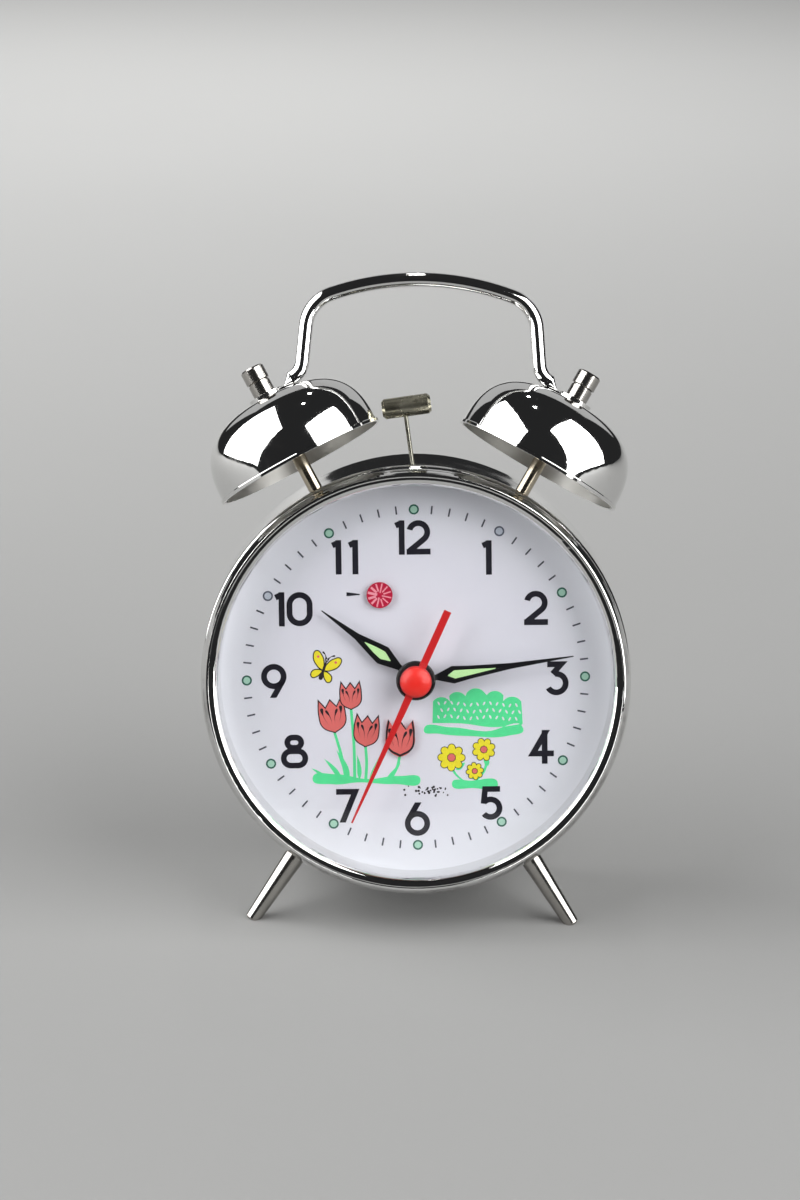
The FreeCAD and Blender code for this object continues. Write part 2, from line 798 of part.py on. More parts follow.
# Handle: one bent rod, flattened at each end into an eyelet under the bell nut
def rounded_path(corners, radii):
    """Wire of straight runs joined by tangent arcs at the inner corners."""
    edges = []
    last = corners[0]
    for before, corner, after, radius in zip(corners, corners[1:], corners[2:], radii):
        towards = (before - corner).normalize()
        onwards = (after - corner).normalize()
        half = towards.getAngle(onwards) / 2
        reach = radius / math.tan(half)
        first = corner + towards * reach
        second = corner + onwards * reach
        middle = (towards + onwards).normalize()
        centre_distance = radius / math.sin(half)
        on_arc = corner + middle * (centre_distance - radius)
        if (first - last).Length > 1e-3:
            edges.append(Part.makeLine(last, first))
        edges.append(Part.Arc(first, on_arc, second).toShape())
        last = second
    edges.append(Part.makeLine(last, corners[-1]))
    return Part.Wire(edges)


spread = math.radians(bell_spread_angle)
post_way = V(math.sin(spread), 0, math.cos(spread))
tail_way = V(-math.cos(spread), 0, math.sin(spread))
rod_rest = bell_top + handle_tail_rise
tail_first = post_way * rod_rest + tail_way * handle_tail_start
bend_reach = (rod_rest * post_way.x - handle_leg_x) / math.cos(spread)
bend_corner = post_way * rod_rest + tail_way * bend_reach
# The arch's end tangents cross above its top, where the path has its middle corner, and each
# meets the line of its leg at the shoulder's corner
arch_half = math.radians(handle_arch_half_angle)
leg_slope = math.tan(math.radians(handle_leg_lean))
arch_corner = V(0, 0, handle_top - handle_arch_radius + handle_arch_radius / math.cos(arch_half))
leg_fall = arch_corner.z - math.tan(arch_half) * bend_corner.x - bend_corner.z
shoulder_rise = leg_fall / (1 - math.tan(arch_half) * leg_slope)
shoulder_corner = bend_corner + V(-leg_slope * shoulder_rise, 0, shoulder_rise)
right_corners = [tail_first, bend_corner, shoulder_corner]
left_corners = [V(-p.x, 0, p.z) for p in right_corners]
side_radii = [handle_bend_radius, handle_shoulder_radius]
handle_path = rounded_path(
    right_corners + [arch_corner] + left_corners[::-1],
    side_radii + [handle_arch_radius] + side_radii[::-1],
)
section = Part.Wire([Part.makeCircle(handle_rod_radius, tail_first, tail_way)])
handle = handle_path.makePipeShell([section], True, False, 0)
for side in (1, -1):
    round_wire = Part.Wire([Part.makeCircle(handle_rod_radius, tail_first, tail_way)])
    flat_centre = post_way * (bell_top + handle_eyelet_thickness / 2) + tail_way * handle_tail_end
    oval = Part.Ellipse(V(0, 0, 0), handle_rod_radius * 1.35, handle_eyelet_thickness / 2 - 0.03).toShape()
    oval.Placement = FreeCAD.Placement(flat_centre, FreeCAD.Rotation(V(0, 1, 0), post_way, tail_way, "XYZ"))
    oval_wire = Part.Wire([oval])
    tail = Part.makeLoft([round_wire, oval_wire], True, True)
    strip = Part.Face(oval_wire).extrude(tail_way * (post_thread_radius + 0.8 - handle_tail_end))
    tail = tail.fuse(strip)
    eyelet = Part.makeCylinder(handle_eyelet_radius, handle_eyelet_thickness, post_way * bell_top, post_way)
    hole = Part.makeCylinder(post_thread_radius + seat_gap, 20, post_way * (bell_top - 5), post_way)
    eyelet = eyelet.cut(hole)
    if side < 0:
        tail = tail.mirror(V(0, 0, 0), V(1, 0, 0))
        eyelet = eyelet.mirror(V(0, 0, 0), V(1, 0, 0))
    handle = handle.fuse(tail).fuse(eyelet)
nodes["handle"] = [in_bell_plane(handle)]

# Legs and their inner nuts
leg_nuts = []
for side, word in ((-1, "left"), (1, "right")):
    thread_start = leg_wall_inner - leg_nut_height - 1.0
    leg = upright([
        (0.0, thread_start),
        (leg_thread_radius, thread_start),
        (leg_thread_radius, leg_shoulder),
        (leg_collar_radius, leg_shoulder),
        (leg_collar_radius, leg_shoulder + leg_collar_height),
        (leg_top_radius, leg_shoulder + leg_collar_height + 0.3),
        (leg_top_radius, leg_shoulder + leg_collar_height + leg_straight),
        (leg_tip_radius, leg_reach - 0.5),
        (leg_tip_radius - 0.5, leg_reach),
        (0.0, leg_reach),
    ])
    nodes[f"leg_{word}"] = [on_leg_axis(leg, side)]
    nut_top = leg_wall_inner - 0.15
    nut = upright_hexagon(leg_nut_radius, nut_top - leg_nut_height, nut_top)
    leg_nuts.append(on_leg_axis(nut.cut(upright_rod(leg_thread_radius, 40, 60)), side))
nodes["leg_nuts"] = leg_nuts

# Motion work behind the dial: cannon pinion, minute wheel, hour wheel and alarm wheel
hour_wheel_start = dial_back + 0.7
alarm_wheel_end = hour_wheel_start + 0.8
minute_pinion_start = alarm_wheel_end + 0.3
hour_wheel_end = hour_wheel_start + 2.5
minute_wheel_start = hour_wheel_end + 0.5
minute_wheel_end = minute_wheel_start + 1.0
cannon_end = front_plate_start - 0.3

cannon_phase = 0.3
minute_phase = meshed_phase(centre_spot, cannon_teeth, cannon_phase, minute_spot, minute_teeth)
driver_phase = meshed_phase(minute_spot, minute_teeth, minute_phase, centre_wheel_spot, cannon_teeth)
hour_phase = meshed_phase(minute_spot, minute_pinion_teeth, 0.1, centre_spot, hour_teeth)
alarm_phase = meshed_phase(centre_spot, hour_teeth, hour_phase, alarm_spot, hour_teeth)

cannon = joined([
    gear_blank(centre_spot, cannon_teeth, minute_module, PINION_TOOTH, cannon_phase,
               minute_wheel_start - 0.2, minute_wheel_end + 0.3),
    rod(centre_spot, cannon_radius, minute_hub_front + 0.4, cannon_end),
])
cannon_bore = centre_tube_radius + running_fit
nodes["cannon_pinion"] = [cannon.cut(rod(centre_spot, cannon_bore, 0, drum_end))]

minute_wheel = joined([
    gear_blank(minute_spot, minute_teeth, minute_module, WHEEL_TOOTH, minute_phase,
               minute_wheel_start, minute_wheel_end),
    gear_blank(minute_spot, minute_pinion_teeth, hour_module, PINION_TOOTH, 0.1,
               minute_pinion_start, minute_wheel_start),
    rod(minute_spot, set_arbor_radius, minute_pinion_start, cover_end + knob_gap + knob_height - 1.5),
])
nodes["minute_wheel"] = [minute_wheel]

driver = gear_blank(centre_wheel_spot, cannon_teeth, minute_module, PINION_TOOTH, driver_phase,
                    minute_wheel_start - 0.2, minute_wheel_end + 0.3)
nodes["drive_pinion"] = [driver.cut(rod(centre_wheel_spot, arbor_radius, 0, drum_end))]

hour_wheel = joined([
    gear_blank(centre_spot, hour_teeth, hour_module, WHEEL_TOOTH, hour_phase,
               hour_wheel_start, hour_wheel_end),
    rod(centre_spot, hour_pipe_radius, hour_hand_front - 0.2, hour_wheel_end),
])
hour_bore = cannon_radius + running_fit
nodes["hour_wheel"] = [hour_wheel.cut(rod(centre_spot, hour_bore, 0, drum_end))]

alarm_wheel = gear_blank(alarm_spot, hour_teeth, hour_module, WHEEL_TOOTH, alarm_phase,
                         hour_wheel_start, alarm_wheel_end)
alarm_wheel = joined([alarm_wheel, rod(alarm_spot, 3.0, hour_wheel_start, alarm_wheel_end + 1.2)])
nodes["alarm_wheel"] = [alarm_wheel.cut(rod(alarm_spot, set_arbor_radius + running_fit, 0, drum_end))]


# Hands
def hand_blank(points, front, cw):
    """Flat hand from (along, half width) points, mirrored about its length."""
    outline_points = [(w, u) for u, w in points] + [(-w, u) for u, w in reversed(points)]
    return turned(sheet(outline_points, front, front + hand_thickness), cw)


hour_points = [(0.0, 0.8), (5.2, 0.75), (10.4, 2.5), (13.0, 2.0), (18.5, 0.85), (hour_hand_length, 0.12)]
hour_lume = [(7.3, 0.1), (10.5, 1.55), (13.2, 1.15), (17.2, 0.1)]
minute_points = [(0.0, 0.8), (5.2, 0.7), (9.5, 2.25), (13.5, 1.7), (24.0, 0.75), (minute_hand_length, 0.12)]
minute_lume = [(7.6, 0.1), (9.8, 1.35), (13.6, 1.0), (21.8, 0.1)]


def lume_recess(points, front, cw):
    """Shallow pocket in a hand's front for the luminous paint."""
    pocket = [(w, u) for u, w in points] + [(-w, u) for u, w in reversed(points)]
    return turned(sheet(pocket, front - 1, front + lume_slot_depth), cw)


hour_hand = hand_blank(hour_points, hour_hand_front, hour_hand_cw)
hour_hand = hour_hand.cut(lume_recess(hour_lume, hour_hand_front, hour_hand_cw))
hour_boss = rod(centre_spot, hour_pipe_radius + 1.4, hour_hand_front, hour_hand_front + 0.8)
hour_hand = joined([hour_hand, hour_boss])
nodes["hour_hand"] = [hour_hand.cut(rod(centre_spot, hour_pipe_radius, 0, drum_end))]

minute_hand = hand_blank(minute_points, minute_hand_front, minute_hand_cw)
minute_hand = minute_hand.cut(lume_recess(minute_lume, minute_hand_front, minute_hand_cw))
minute_hub = spun([
    (0.0, minute_hub_front),
    (minute_hub_radius - 0.4, minute_hub_front),
    (minute_hub_radius, minute_hub_front + 0.4),
    (minute_hub_radius, minute_hand_end),
    (0.0, minute_hand_end),
])
minute_hand = joined([minute_hand, minute_hub])
minute_hand = minute_hand.cut(rod(centre_spot, cannon_radius, minute_hub_front + 0.4, drum_end))
minute_hand = minute_hand.cut(rod(centre_spot, centre_bore + loose_fit, 0, drum_end))
nodes["minute_hand"] = [minute_hand]

second_points = [(-second_tail_length, 0.95), (4.0, 0.95), (second_hand_length, 0.22)]
second_hand = hand_blank(second_points, second_hand_front, second_hand_cw)
hub_edge = second_hand_front - 0.5
second_hub = spun([
    (0.0, second_hub_front),
    ("arc", (second_hub_radius * 0.6, second_hub_front + 0.42), (second_hub_radius, hub_edge)),
    (second_hub_radius, second_hand_front + hand_thickness),
    (0.0, second_hand_front + hand_thickness),
])
second_hand = joined([second_hand, second_hub])
seconds_arbor_start = second_hand_front - 0.6
nodes["second_hand"] = [
    second_hand.cut(rod(centre_spot, seconds_arbor_radius, seconds_arbor_start, drum_end))
]

# Alarm setting: the small disc in front of the dial, its arbor and the knob behind
knob_start = cover_end + knob_gap
knob_end = knob_start + knob_height
nodes["alarm_disc"] = [
    rod(alarm_spot, alarm_disc_radius, alarm_disc_front, alarm_disc_front + alarm_disc_thickness)
]
nodes["alarm_set_arbor"] = [
    rod(alarm_spot, set_arbor_radius, alarm_disc_front + alarm_disc_thickness, knob_end - 1.5)
]


def knurled_knob(spot):
    """Round knob with grip flutes and a blind bore."""
    knob = spun([
        (0.0, knob_start),
        (knob_radius * 0.62, knob_start),
        (knob_radius * 0.62, knob_start + 1.5),
        (knob_radius, knob_start + 2.0),
        (knob_radius, knob_end - 0.6),
        (knob_radius - 0.6, knob_end),
        (0.0, knob_end),
    ], spot)
    flute_spots = [polar(20 * k, knob_radius + 0.25, spot) for k in range(18)]
    knob = knob.cut(Part.makeCompound([rod(flute, 0.6, knob_start, knob_end + 1) for flute in flute_spots]))
    return knob.cut(rod(spot, set_arbor_radius, knob_start - 1, knob_end - 1.5))


nodes["alarm_set_knob"] = [knurled_knob(alarm_spot)]
nodes["time_set_knob"] = [knurled_knob(minute_spot)]

# Time train: great wheel and click, centre wheel, third wheel, fourth wheel with the second hand's arbor
great_start = front_plate_end + 1.1
great_end = great_start + 1.2
ratchet_start = great_end + 0.3
ratchet_end = ratchet_start + 1.0
centre_start = great_end + 1.7
centre_end = centre_start + 0.8
fourth_start = front_plate_end + 1.3
fourth_end = fourth_start + 0.8
third_end = back_plate_start - 1.0
third_start = third_end - 0.8
escape_start = 27.6
escape_end = escape_start + 0.8

great_phase = 0.0
centre_pinion_phase = meshed_phase(
    time_barrel, great_teeth, great_phase, centre_wheel_spot, centre_pinion_teeth
)
alarm_pinion_phase = meshed_phase(
    alarm_barrel, great_teeth, great_phase, alarm_escape_spot, alarm_pinion_teeth
)
third_pinion_phase = meshed_phase(centre_wheel_spot, centre_teeth, 0.0, third_spot, third_pinion_teeth)
fourth_pinion_phase = meshed_phase(third_spot, third_teeth, 0.0, centre_spot, fourth_pinion_teeth)
escape_pinion_phase = meshed_phase(centre_spot, fourth_teeth, 0.0, escape_spot, escape_pinion_teeth)

barrel_bearing = ratchet_radius / 3


def great_wheel(spot):
    """Large wheel that turns on a spring arbor."""
    blank = gear_blank(spot, great_teeth, great_module, WHEEL_TOOTH, great_phase, great_start, great_end)
    pitch_radius = great_teeth * great_module / 2
    blank = crossed_out(blank, spot, 8.5, pitch_radius - 2.4, 5, 5.0, great_start, great_end)
    return blank.cut(rod(spot, barrel_bearing + running_fit, great_start - 1, great_end + 1))


def click(spot, cw):
    """Pawl riveted to the great wheel, its nose just clear of the ratchet."""
    nose = polar(cw, ratchet_radius + 0.5, spot)
    heel = polar(cw + 38, ratchet_radius + 4.0, spot)
    outer = polar(cw + 16, ratchet_radius + 3.0, spot)
    belly = polar(cw + 30, ratchet_radius + 1.6, spot)
    pawl = sheet([nose, outer, heel, belly], ratchet_start, ratchet_end - 0.2)
    pivot = polar(cw + 34, ratchet_radius + 2.8, spot)
    boss = rod(pivot, 1.4, great_end, ratchet_end - 0.2)
    return joined([pawl, boss])


def spring_arbor(spot):
    """Winding arbor with its ratchet, spring core and threaded tail for the key."""
    core_end = mainspring_start + mainspring_width + 0.4
    return joined([
        rod(spot, barrel_pivot_radius, front_plate_start + 0.3, front_plate_end + 0.3),
        rod(spot, barrel_bearing, front_plate_end + 0.3, ratchet_start),
        ratchet_wheel(spot, ratchet_radius, ratchet_teeth, ratchet_start, ratchet_end),
        rod(spot, barrel_arbor_radius, ratchet_end, core_end),
        rod(spot, barrel_thread_radius, core_end, cover_end + knob_gap + key_hub_height - 1.5),
    ])


def winding_key(spot, cw):
    """Butterfly key: a round hub with two flat wings."""
    key_start = cover_end + knob_gap
    key_end = key_start + key_hub_height
    hub = spun([
        (0.0, key_start),
        (key_hub_radius, key_start),
        (key_hub_radius, key_end - 0.8),
        (key_hub_radius - 0.8, key_end),
        (0.0, key_end),
    ], spot)
    half = key_wing_span / 2
    wing_start = key_start + 3.0
    wing_end = wing_start + key_wing_height
    middle = (wing_start + wing_end) / 2
    corner = key_wing_height * 0.32
    inside = key_hub_radius - 1.0
    wings = []
    for sign in (-1, 1):
        points = [
            V(sign * inside, wing_start, 0),
            V(sign * (half - corner), wing_start, 0),
            ("arc", V(sign * half, middle, 0), V(sign * (half - corner), wing_end, 0)),
            V(sign * (key_hub_radius + 1.2), wing_end, 0),
            ("arc", V(sign * (key_hub_radius + 0.2), key_end + 0.9, 0), V(sign * inside, key_end - 0.4, 0)),
        ]
        face = Part.Face(outline(points))
        face.translate(V(0, 0, -key_wing_thickness / 2))
        wings.append(face.extrude(V(0, 0, key_wing_thickness)))
    grip = Part.makeCompound(wings)
    grip.rotate(V(0, 0, 0), V(0, 1, 0), cw)
    grip.translate(V(spot[0], 0, spot[1]))
    key = hub.multiFuse(grip.Solids).removeSplitter()
    return key.cut(rod(spot, barrel_thread_radius, key_start - 1, key_end - 1.5))


nodes["time_great_wheel"] = [great_wheel(time_barrel)]
nodes["time_click"] = [click(time_barrel, 100)]
nodes["time_spring_arbor"] = [spring_arbor(time_barrel)]
nodes["time_key"] = [winding_key(time_barrel, 35)]
nodes["alarm_great_wheel"] = [great_wheel(alarm_barrel)]
nodes["alarm_click"] = [click(alarm_barrel, 250)]
nodes["alarm_spring_arbor"] = [spring_arbor(alarm_barrel)]
nodes["alarm_key"] = [winding_key(alarm_barrel, -35)]


def train_wheel(spot, teeth, module, pinion_teeth, pinion_module, pinion_phase, wheel, pinion, shaft):
    """Wheel, pinion and arbor as one piece. wheel and pinion are (start, end) depths."""
    blank = gear_blank(spot, teeth, module, WHEEL_TOOTH, 0.0, wheel[0], wheel[1])
    outer = teeth * module / 2 - 4 * module
    blank = crossed_out(blank, spot, outer * 0.32, outer, 4, outer * 0.16, wheel[0], wheel[1])
    leaves = gear_blank(spot, pinion_teeth, pinion_module, PINION_TOOTH, pinion_phase, pinion[0], pinion[1])
    return joined([blank, leaves] + shaft)


centre_arbor_front = minute_wheel_start - 0.2
nodes["centre_wheel"] = [train_wheel(
    centre_wheel_spot, centre_teeth, centre_module, centre_pinion_teeth, great_module, centre_pinion_phase,
    (centre_start, centre_end), (great_start - 0.4, great_end + 0.4),
    [rod(centre_wheel_spot, arbor_radius, centre_arbor_front, back_plate_start - 0.3),
     rod(centre_wheel_spot, pivot_radius, front_plate_start, back_plate_end - 0.3)],
)]
nodes["third_wheel"] = [train_wheel(
    third_spot, third_teeth, third_module, third_pinion_teeth, centre_module, third_pinion_phase,
    (third_start, third_end), (centre_start - 0.5, centre_end + 0.5), pivoted(third_spot, arbor_radius),
)]
nodes["fourth_wheel"] = [train_wheel(
    centre_spot, fourth_teeth, fourth_module, fourth_pinion_teeth, third_module, fourth_pinion_phase,
    (fourth_start, fourth_end), (third_start - 0.7, back_plate_start - 0.4),
    [rod(centre_spot, seconds_arbor_radius, seconds_arbor_start, back_plate_start - 0.3),
     rod(centre_spot, pivot_radius, front_plate_start, back_plate_end - 0.3)],
)]
nodes["escape_wheel"] = [joined([
    escape_blank(escape_spot, escape_tip_radius, escape_teeth, escape_start, escape_end),
    gear_blank(escape_spot, escape_pinion_teeth, fourth_module, PINION_TOOTH, escape_pinion_phase,
               fourth_start - 0.5, fourth_end + 0.5),
] + pivoted(escape_spot, thin_arbor_radius))]

# Pallet lever: two steel pins face the escape wheel, the fork faces the balance
pin_radius = 0.25
pin_from_wheel = 7.2
pin_half_angle = 35.0
lever_start = escape_start
lever_end = escape_end
pins = []
arms = []
for sign in (-1, 1):
    pin_spot = polar(pallet_cw + sign * pin_half_angle, pin_from_wheel, escape_spot)
    pins.append(rod(pin_spot, pin_radius, lever_start - 0.2, lever_end + 1.2))
    dx = pin_spot[0] - pallet_spot[0]
    dz = pin_spot[1] - pallet_spot[1]
    reach = math.hypot(dx, dz)
    cw = math.degrees(math.atan2(dx, dz))
    arm = sheet([(-0.7, 0.0), (-0.45, reach), (0.45, reach), (0.7, 0.0)], lever_end + 0.3, lever_end + 1.2)
    arm = turned(arm, cw)
    arm.translate(V(pallet_spot[0], 0, pallet_spot[1]))
    arms.append(arm)
fork_reach = balance_distance - impulse_radius - 0.8
fork = sheet(
    [(-0.8, 0.0), (-0.5, fork_reach - 1.5), (-1.0, fork_reach), (-0.45, fork_reach),
     (0.0, fork_reach - 1.0), (0.45, fork_reach), (1.0, fork_reach), (0.5, fork_reach - 1.5), (0.8, 0.0)],
    lever_end + 0.3,
    lever_end + 1.2,
)
fork = turned(fork, pallet_cw)
fork.translate(V(pallet_spot[0], 0, pallet_spot[1]))
lever_boss = rod(pallet_spot, 1.6, lever_end - 0.2, lever_end + 1.2)
pallet_arbor = rod(pallet_spot, thin_arbor_radius, tulip_front + tulip_thickness, back_plate_start - 0.3)
pallet_pivot = rod(pallet_spot, pivot_radius, front_plate_start, back_plate_end - 0.3)
nodes["pallet_lever"] = [joined([lever_boss, fork, pallet_arbor, pallet_pivot] + arms + pins)]

# Rocking tulip on the pallet arbor's front end: a cup with three petal tips
cup_base = -1.4
tip_height = tulip_height + cup_base
w = tulip_half_width
tulip_points = [
    (0.0, cup_base),
    ("arc", (w * 0.83, 0.6), (w, 4.0)),
    ("arc", (w * 0.98, 6.0), (w * 0.86, tip_height)),
    (w * 0.42, tip_height - 2.4),
    (0.0, tip_height - 0.3),
    (-w * 0.42, tip_height - 2.4),
    (-w * 0.86, tip_height),
    ("arc", (-w * 0.98, 6.0), (-w, 4.0)),
    ("arc", (-w * 0.83, 0.6), (0.0, cup_base)),
]
tulip = sheet(tulip_points, tulip_front, tulip_front + tulip_thickness)
tulip.translate(V(pallet_spot[0], 0, pallet_spot[1]))
nodes["tulip"] = [tulip]

# Balance wheel with staff, roller and impulse pin, between two cup screws
screw_cup = 1.2
staff_start = front_plate_end + 2.0
staff_end = back_plate_start - 1.6
front_screw = joined([
    rod(balance_spot, pivot_screw_radius, front_plate_start - 0.6, staff_start),
    hexagon(balance_spot, pivot_screw_radius + 0.9, front_plate_start - 1.4, front_plate_start - 0.6),
])
back_screw = joined([
    rod(balance_spot, pivot_screw_radius, staff_end, back_plate_end + 2.4),
    hexagon(balance_spot, pivot_screw_radius + 0.9, back_plate_end + 2.4, back_plate_end + 3.4),
])


def cone(spot, start_radius, end_radius, start, end):
    """Cone along the drum's axis direction."""
    return Part.makeCone(start_radius, end_radius, end - start, V(spot[0], start, spot[1]), V(0, 1, 0))


cup_front = cone(balance_spot, 0.0, screw_cup, staff_start - screw_cup, staff_start)
cup_back = cone(balance_spot, screw_cup, 0.0, staff_end, staff_end + screw_cup)
nodes["balance_screws"] = [front_screw.cut(cup_front), back_screw.cut(cup_back)]

cone_reach = 0.8
shaft_start = staff_start + 0.1
shaft_end = staff_end - 0.1
spot_x, spot_z = balance_spot
staff = joined([
    rod(balance_spot, balance_staff_radius, shaft_start, shaft_end),
    cone(balance_spot, 0.05, balance_staff_radius, shaft_start - cone_reach, shaft_start),
    cone(balance_spot, balance_staff_radius, 0.05, shaft_end, shaft_end + cone_reach),
])
rim_end = balance_rim_start + balance_rim_height
rim = tube(balance_spot, balance_radius, balance_radius - balance_rim_width, balance_rim_start, rim_end)
arm_length = 2 * balance_radius - balance_rim_width
balance_arm = Part.makeBox(arm_length, 0.8, 1.6, V(-arm_length / 2, balance_rim_start, -0.8))
balance_arm.rotate(V(0, 0, 0), V(0, 1, 0), 25)
balance_arm.translate(V(spot_x, 0, spot_z))
impulse_spot = polar(pallet_cw + 180, impulse_radius, balance_spot)
nodes["balance_wheel"] = [joined([
    staff,
    rim,
    balance_arm,
    rod(balance_spot, roller_radius, balance_rim_start - 0.9, balance_rim_start + 0.4),
    rod(balance_spot, 1.5, balance_rim_start, hairspring_start + hairspring_width + 0.2),
    rod(impulse_spot, 0.3, lever_start, balance_rim_start),
])]


# Flat spirals made of half circles: the mainsprings and the hairspring
def spiral(inner, pitch, turns, thickness, start, width, tail):
    """Strip wound in half circles whose centres step from side to side, ending in a straight tail."""
    inner_edges = []
    outer_edges = []
    half = thickness / 2
    radius = inner
    centre_x = 0.0
    sign = 1
    for _ in range(2 * turns):
        for edges, shift in ((inner_edges, -half), (outer_edges, half)):
            r = radius + shift
            first = V(centre_x + sign * r, start, 0)
            middle = V(centre_x, start, sign * r)
            last = V(centre_x - sign * r, start, 0)
            edges.append(Part.Arc(first, middle, last).toShape())
        centre_x += sign * pitch / 2
        radius += pitch / 2
        sign = -sign
    end_x = inner + turns * pitch
    tail_inner = V(end_x - half, start, tail)
    tail_outer = V(end_x + half, start, tail)
    edges = inner_edges + outer_edges + [
        Part.makeLine(inner_edges[-1].Vertexes[-1].Point, tail_inner),
        Part.makeLine(tail_inner, tail_outer),
        Part.makeLine(tail_outer, outer_edges[-1].Vertexes[-1].Point),
        Part.makeLine(inner_edges[0].Vertexes[0].Point, outer_edges[0].Vertexes[0].Point),
    ]
    face = Part.Face(Part.Wire(Part.sortEdges(edges)[0]))
    return face.extrude(V(0, width, 0)), end_x


def mainspring(pillar):
    """Spring round the time arbor, its tail looped over the pillar above it."""
    pitch = (mainspring_radius - mainspring_inner_radius) / mainspring_turns
    loop_inner = pillar_radius + seat_gap
    loop_middle = loop_inner + mainspring_thickness / 2
    reach_x = pillar[0] - time_barrel[0]
    reach_z = pillar[1] - time_barrel[1]
    tail = math.sqrt(math.hypot(reach_x, reach_z) ** 2 - (mainspring_radius - loop_middle) ** 2)
    strip, end_x = spiral(
        mainspring_inner_radius, pitch, mainspring_turns, mainspring_thickness, mainspring_start,
        mainspring_width, tail,
    )
    aim = math.atan2(reach_x, reach_z)
    now = math.atan2(end_x - loop_middle, tail)
    strip.rotate(V(0, 0, 0), V(0, 1, 0), math.degrees(aim - now))
    strip.translate(V(time_barrel[0], 0, time_barrel[1]))
    loop_end = mainspring_start + mainspring_width
    loop = tube(pillar, loop_inner + mainspring_thickness, loop_inner, mainspring_start, loop_end)
    return joined([strip, loop])


time_spring = mainspring(pillar_spots[0])
nodes["time_mainspring"] = [time_spring]
nodes["alarm_mainspring"] = [time_spring.mirror(V(0, 0, 0), V(1, 0, 0))]

# Hairspring: its outer half coil passes above the balance and ends in a stud on the back plate
hairspring_tail = 3.0
hair_strip, hair_end = spiral(
    hairspring_inner_radius, hairspring_pitch, hairspring_turns, hairspring_thickness, hairspring_start,
    hairspring_width, hairspring_tail,
)
stud = rod((hair_end, hairspring_tail), 0.5, hairspring_start - 0.2, back_plate_start)
hairspring = joined([hair_strip, stud])
hairspring.rotate(V(0, 0, 0), V(0, 1, 0), 180)
hairspring.translate(V(spot_x, 0, spot_z))
nodes["hairspring"] = [hairspring]

# Regulator behind the back plate: a lever round the pivot screw, its tab reaching out through the cover
regulator_start = back_plate_end + 0.3
regulator_end = regulator_start + regulator_thickness
lever = sheet(
    [(-1.6, 0.0), (-1.0, regulator_length + 0.8), (1.0, regulator_length + 0.8), (1.6, 0.0)],
    regulator_start,
    regulator_end,
)
lever.translate(V(spot_x, 0, spot_z))
tab_corner = V(spot_x - regulator_tab_width / 2, regulator_start, spot_z + regulator_length - 0.8)
tab = Part.makeBox(regulator_tab_width, cover_end + 2.6 - regulator_start, 1.6, tab_corner)
curb_pins = [
    rod(polar(0, curb_coil_radius + side * curb_offset, balance_spot), curb_pin_radius,
        hairspring_start, regulator_end)
    for side in (-1, 1)
]
hub_disc = rod(balance_spot, 4.0, regulator_start, regulator_end)
regulator = joined([lever, hub_disc, tab] + curb_pins)
regulator = regulator.cut(rod(balance_spot, pivot_screw_radius + running_fit, 0, drum_end))
nodes["regulator_lever"] = [regulator]

# Alarm escape wheel, and the hammer with its small verge on one arbor
alarm_escape_start = centre_start
alarm_escape_end = alarm_escape_start + 1.0
nodes["alarm_escape_wheel"] = [joined([
    escape_blank(alarm_escape_spot, escape_tip_radius, escape_teeth, alarm_escape_start, alarm_escape_end),
    gear_blank(alarm_escape_spot, alarm_pinion_teeth, great_module, PINION_TOOTH, alarm_pinion_phase,
               great_start - 0.4, great_end + 0.4),
] + pivoted(alarm_escape_spot, arbor_radius))]

bend = V(hammer_bend_x, hammer_plane, hammer_bend_z)
head_centre = V(hammer_head_x, hammer_plane, hammer_head_z)
hammer_foot = V(hammer_spot[0], hammer_plane, hammer_spot[1])
verge = sheet(
    [(-2.6, -0.9), (-1.1, 0.9), (1.1, 0.9), (2.6, -0.9),
     (1.9, -1.4), (0.9, -0.2), (-0.9, -0.2), (-1.9, -1.4)],
    alarm_escape_start,
    alarm_escape_end,
)
verge.translate(V(hammer_spot[0], 0, hammer_spot[1]))
wire_parts = []
for first, last in ((hammer_foot, bend), (bend, head_centre)):
    way = last - first
    wire_parts.append(Part.makeCylinder(hammer_wire_radius, way.Length, first, way))
head_way = (head_centre - bend).normalize()
across_way = V(head_way.z, 0, -head_way.x)
head_start = head_centre + across_way * (hammer_head_offset - hammer_head_length / 2)
hammer_head = Part.makeCylinder(hammer_head_radius, hammer_head_length, head_start, across_way)
hammer_head = hammer_head.makeChamfer(hammer_head_chamfer, hammer_head.Edges)
wire_hole = Part.makeCylinder(hammer_wire_radius, 10, head_centre - head_way * 8, head_way)
nodes["hammer_head"] = [hammer_head.cut(wire_hole.common(Part.makeSphere(9, head_centre - head_way * 9)))]
wire_parts.append(Part.makeSphere(hammer_wire_radius, bend))
hammer_boss = rod(hammer_spot, 2.2, hammer_plane - 0.9, alarm_escape_end)
hammer_arm = joined(wire_parts + [verge, hammer_boss] + pivoted(hammer_spot, arbor_radius))
nodes["hammer_arm"] = [hammer_arm.cut(nodes["hammer_head"][0])]

# Alarm stop: a push rod through the cover and the back plate, with its knob behind
stop_end = cover_end + stop_travel + 0.6
nodes["stop_button"] = [joined([
    rod(stop_spot, stop_rod_radius, back_plate_start - 2.0, stop_end),
    rod(stop_spot, stop_knob_radius, stop_end, stop_end + stop_knob_height),
])]


# Lean the whole clock back until the rim of its back and its two feet stand on one plane
foot = leg_reach - leg_foot_cut
foot_drop = foot * math.cos(math.radians(leg_angle))
drop_difference = foot_drop - roll_centre
rim_distance_back = roll_start - leg_plane
hypotenuse = math.hypot(drop_difference, rim_distance_back)
lean = math.acos(rim_roll / hypotenuse) - math.atan2(rim_distance_back, drop_difference)
floor_level = -foot_drop * math.cos(lean) - leg_plane * math.sin(lean)


